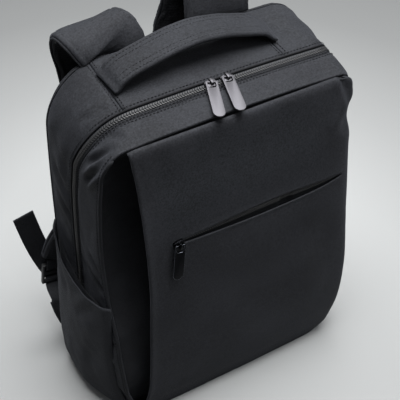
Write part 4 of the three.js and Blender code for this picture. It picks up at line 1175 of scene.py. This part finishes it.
# A woven strap with raised ribs along it and soft edges, cut square at both ends.
def webStrap(name, path, across):
    ribs, half, thick = lock["ribs"], lock["webWide"] / 2, lock["webThick"]
    marks = np.linspace(-1, 1, ribs * 4 + 1)
    wave = np.abs(np.sin((marks + 1) / 2 * ribs * math.pi))
    top = thick / 2 * np.where(np.abs(marks) > 0.97, 0.35, 1) - lock["ribDeep"] * (1 - wave)
    profile = np.concatenate([np.stack([marks * half, top], 1), np.stack([marks * half, -top], 1)[::-1]])
    forward = directions(path)
    side = unit(across - forward * np.sum(across * forward, -1, keepdims=True))
    up = unit(np.cross(forward, side))
    rings = path[:, None] + side[:, None] * profile[None, :, :1] + up[:, None] * profile[None, :, 1:]
    return loftPiece(name, rings), side, up


def makeStrapEnd(side, title):
    half, last = bag["width"] / 2, fallRows[-1]
    end = np.array([-half * last[0], bag["backSeam"] + last[2] * strap["reach"], bag["height"] * last[3]])
    up = unit(np.array([lock["lean"], 0, 1.0]))
    across = unit(np.array([1.0, 0, -lock["lean"]]))
    middle = end - up * (lock["height"] / 2 + lock["drop"])
    clear = lock["thick"] / 2 + lock["gap"] + lock["webThick"] / 2
    mirror = np.array([1.0 if side < 0 else -1.0, 1, 1])

    def at(w, v, n):
        return middle + across * w + up * v + np.array([0.0, n, 0])

    loop = smoothPath([at(0, v * lock["height"], n * clear) for v, n in loopRows], 1.6)
    piece, _, _ = webStrap("lockLoop" + title, loop * mirror, across * mirror + 0 * loop)
    place(piece, "webbing", "webbing", ["lock_loop_" + title.lower()])

    foot = bag["backSeam"] + backPad["thickness"]
    tab = np.array([
        (-x * half, foot + y, anchor["height"] + z * anchor["size"], wide * anchor["wide"])
        for x, y, z, wide in anchor["rows"]])
    fine = smoothPath(tab, 1.8)
    spine, thick = fine[:, :3] * mirror, anchor["thick"] + 0 * fine[:, 3]
    level = np.array([1.0, 0, 0]) + 0 * spine
    rings, sides, ups = bandRings(spine, level, fine[:, 3], thick, 32, 0.25, 0.4)
    piece = loftPiece("strapAnchor" + title, rings)
    place(piece, "webbing", "dark_cloth", ["strap_anchor_" + title.lower()])
    onTop, rows = anchor["thick"] / 2 + 0.1, []
    for w in (-1, 1):
        edge = spine + sides * w * (anchor["wide"] / 2 - 3.5)
        for face in (-1, 1):
            rows.append((edge + ups * face * onTop, ups * face))
    corners = [(-1, 1), (1, -2)]
    for ends in (corners, corners[::-1]):
        places = [spine[k] + sides[k] * w * (anchor["wide"] / 2 - 4) + ups[k] * onTop for w, k in ends]
        rows.append((np.linspace(*places, 12), np.linspace(*(ups[k] for w, k in ends), 12)))

    top = tab[-1, :3]
    stations = [tab[1, :3], top + [0, -0.3, -0.5], top + [0, 9.5, 5.2]]
    for w, v, t, n, o in webRows:
        along = v * lock["height"] + t * lock["tail"]
        stations.append(at(w * lock["webWide"], along, n * clear + o * strap["thickness"]))
    web = smoothPath(stations, 1.6)
    blend = np.clip(np.arange(len(web)) / 8, 0, 1)[:, None]
    turned = np.array([1.0, 0, 0]) * (1 - blend) + across * blend
    piece, sides, ups = webStrap("strapWebbing" + title, web * mirror, turned * mirror)
    place(piece, "webbing", "webbing", ["strap_webbing_" + title.lower()])
    # the tail's end is turned back and sewn
    for k in (-3, -7):
        hem = web[k] * mirror + sides[k] * np.linspace(-10.5, 10.5, 12)[:, None]
        for face in (-1, 1):
            rows.append((hem + ups[k] * face * (lock["webThick"] / 2 + 0.1), ups[k] * face + 0 * hem))
    place(stitching("strapEndStitches" + title, rows), "thread", "webbing")


def makeHardware():
    for side, title in ((-1, "Left"), (1, "Right")):
        roundedCopy("ladder_lock_" + title.lower(), "ladderLock" + title, "buckle", "plastic", 0.9)
        makeStrapEnd(side, title)
    for key, finish, slot, rim in (
        ("main_left", "gunmetal", "gunmetal", None), ("main_right", "gunmetal", "gunmetal", None),
        ("front", "blackMetal", "dark_metal", "highlightRimMetal"),
    ):
        first, *rest = key.split("_")
        title = first + "".join(word.capitalize() for word in rest)
        roundedCopy(key + "_slider", title + "Slider", finish, slot, 0.45)
        roundedCopy(key + "_pull_tab", title + "PullTab", finish, slot, 0.6, key + "_pull", 4, rim=rim)


makeHardware()
print("hardware made")

# floor, light and camera

# The sky glows more to the right and above. The floor's colour is painted lighter round a spot and darker
# with its distance from it: a painted pool of light.
studio = {
    "floorWide": 4.0, "floorSteps": 24, "floor": (0.19, 0.1945, 0.194), "paintedLightSpot": (0.07, 0.2, 0),
    "paintedLightFalloff": [(0.24, 1), (0.4, 0.8), (0.62, 0.6), (1.0, 0.5)],
    "world": (0.92, 0.94, 0.97, 1), "worldStrength": 0.16, "worldRight": 0.12, "worldUp": 0.6,
    "worldLeast": 0.08,
    "keyPower": 168, "keyFrom": (0.12, -0.05, 2.1), "keySize": 1.6,
    "fillPower": 21, "fillFrom": (1.0, -1.9, 1.6), "fillSize": 1.4,
}


def makeFloor():
    wide, steps = studio["floorWide"], studio["floorSteps"]
    marks = np.linspace(-wide, wide, steps + 1)
    points = [(x * 1000, y * 1000, 0) for y in marks for x in marks]
    row = steps + 1
    faces = [[k, k + 1, k + row + 1, k + row] for k in range(steps * row) if k % row < steps]
    floor = meshPiece("studioFloor", points, faces, np.array(points)[:, :2])
    paper = Finish("palePaperPaintedLight", {"Specular IOR Level": 0.2})
    solid = paper.add("ShaderNodeTexCoord", output=3)
    cloud = paper.noise(solid, 1.3, 2.0)
    # painted light: the paper's colour falls off with its distance from the painted light spot
    fromPaintedLightSpot = paper.add(
        "ShaderNodeVectorMath", {"operation": "DISTANCE"}, {0: solid, 1: studio["paintedLightSpot"]}, 1)
    stops = [(at, (*(part * share for part in studio["floor"]), 1)) for at, share in studio["paintedLightFalloff"]]
    paper.wear("Base Color", paper.add("ShaderNodeValToRGB", {"stops": stops}, {0: fromPaintedLightSpot + cloud * 0.02}))
    paper.wear("Roughness", cloud * 0.1 + 0.55)
    floor.data.materials.append(paper.material)


def makeLight(name, power, start, size, aim=(0, 0, 0.2)):
    data = bpy.data.lights.new(name, "AREA")
    data.energy, data.size, data.shape = power, size, "DISK"
    lamp = bpy.data.objects.new(name, data)
    lamp.location = start
    lamp.rotation_euler = (Vector(aim) - Vector(start)).to_track_quat("-Z", "Y").to_euler()
    bpy.context.scene.collection.objects.link(lamp)


# where the photograph was taken from, worked out from the bag's own edges
photoCamera = {
    "lens": 88.03, "sensor": 36, "from": (-0.420144, -0.696873, 0.881062),
    "right": (0.8537, -0.5208, -0.0078), "down": (-0.3373, -0.5406, -0.7710),
    "ahead": (0.3969, 0.6608, -0.6370),
}


def makeCamera():
    up, behind = ([-part for part in photoCamera[way]] for way in ("down", "ahead"))
    turn = Matrix((photoCamera["right"], up, behind)).transposed().to_4x4()
    data = bpy.data.cameras.new("photoCamera")
    data.sensor_width, data.lens, data.sensor_fit = photoCamera["sensor"], photoCamera["lens"], "HORIZONTAL"
    data.clip_end = 50
    camera = bpy.data.objects.new("photoCamera", data)
    camera.matrix_world = Matrix.Translation(photoCamera["from"]) @ turn
    bpy.context.scene.collection.objects.link(camera)
    bpy.context.scene.camera = camera


makeFloor()
makeLight("key", studio["keyPower"], studio["keyFrom"], studio["keySize"])
makeLight("fill", studio["fillPower"], studio["fillFrom"], studio["fillSize"])
makeCamera()
sky = bpy.data.worlds.new("softSky")
sky.use_nodes = True
skyTree = sky.node_tree
skyTree.nodes["Background"].inputs[0].default_value = studio["world"]
heading = skyTree.nodes.new("ShaderNodeSeparateXYZ")
skyTree.links.new(skyTree.nodes.new("ShaderNodeTexCoord").outputs["Generated"], heading.inputs[0])
sideways, upwards = Wire(skyTree, heading.outputs[0]), Wire(skyTree, heading.outputs[2])
glow = sideways * studio["worldRight"] + upwards * studio["worldUp"] + studio["worldStrength"]
glow = glow.math("MAXIMUM", studio["worldLeast"])
skyTree.links.new(glow.socket, skyTree.nodes["Background"].inputs[1])
bpy.context.scene.world = sky
bpy.context.scene.view_settings.view_transform = "Standard"
print("studio ready")
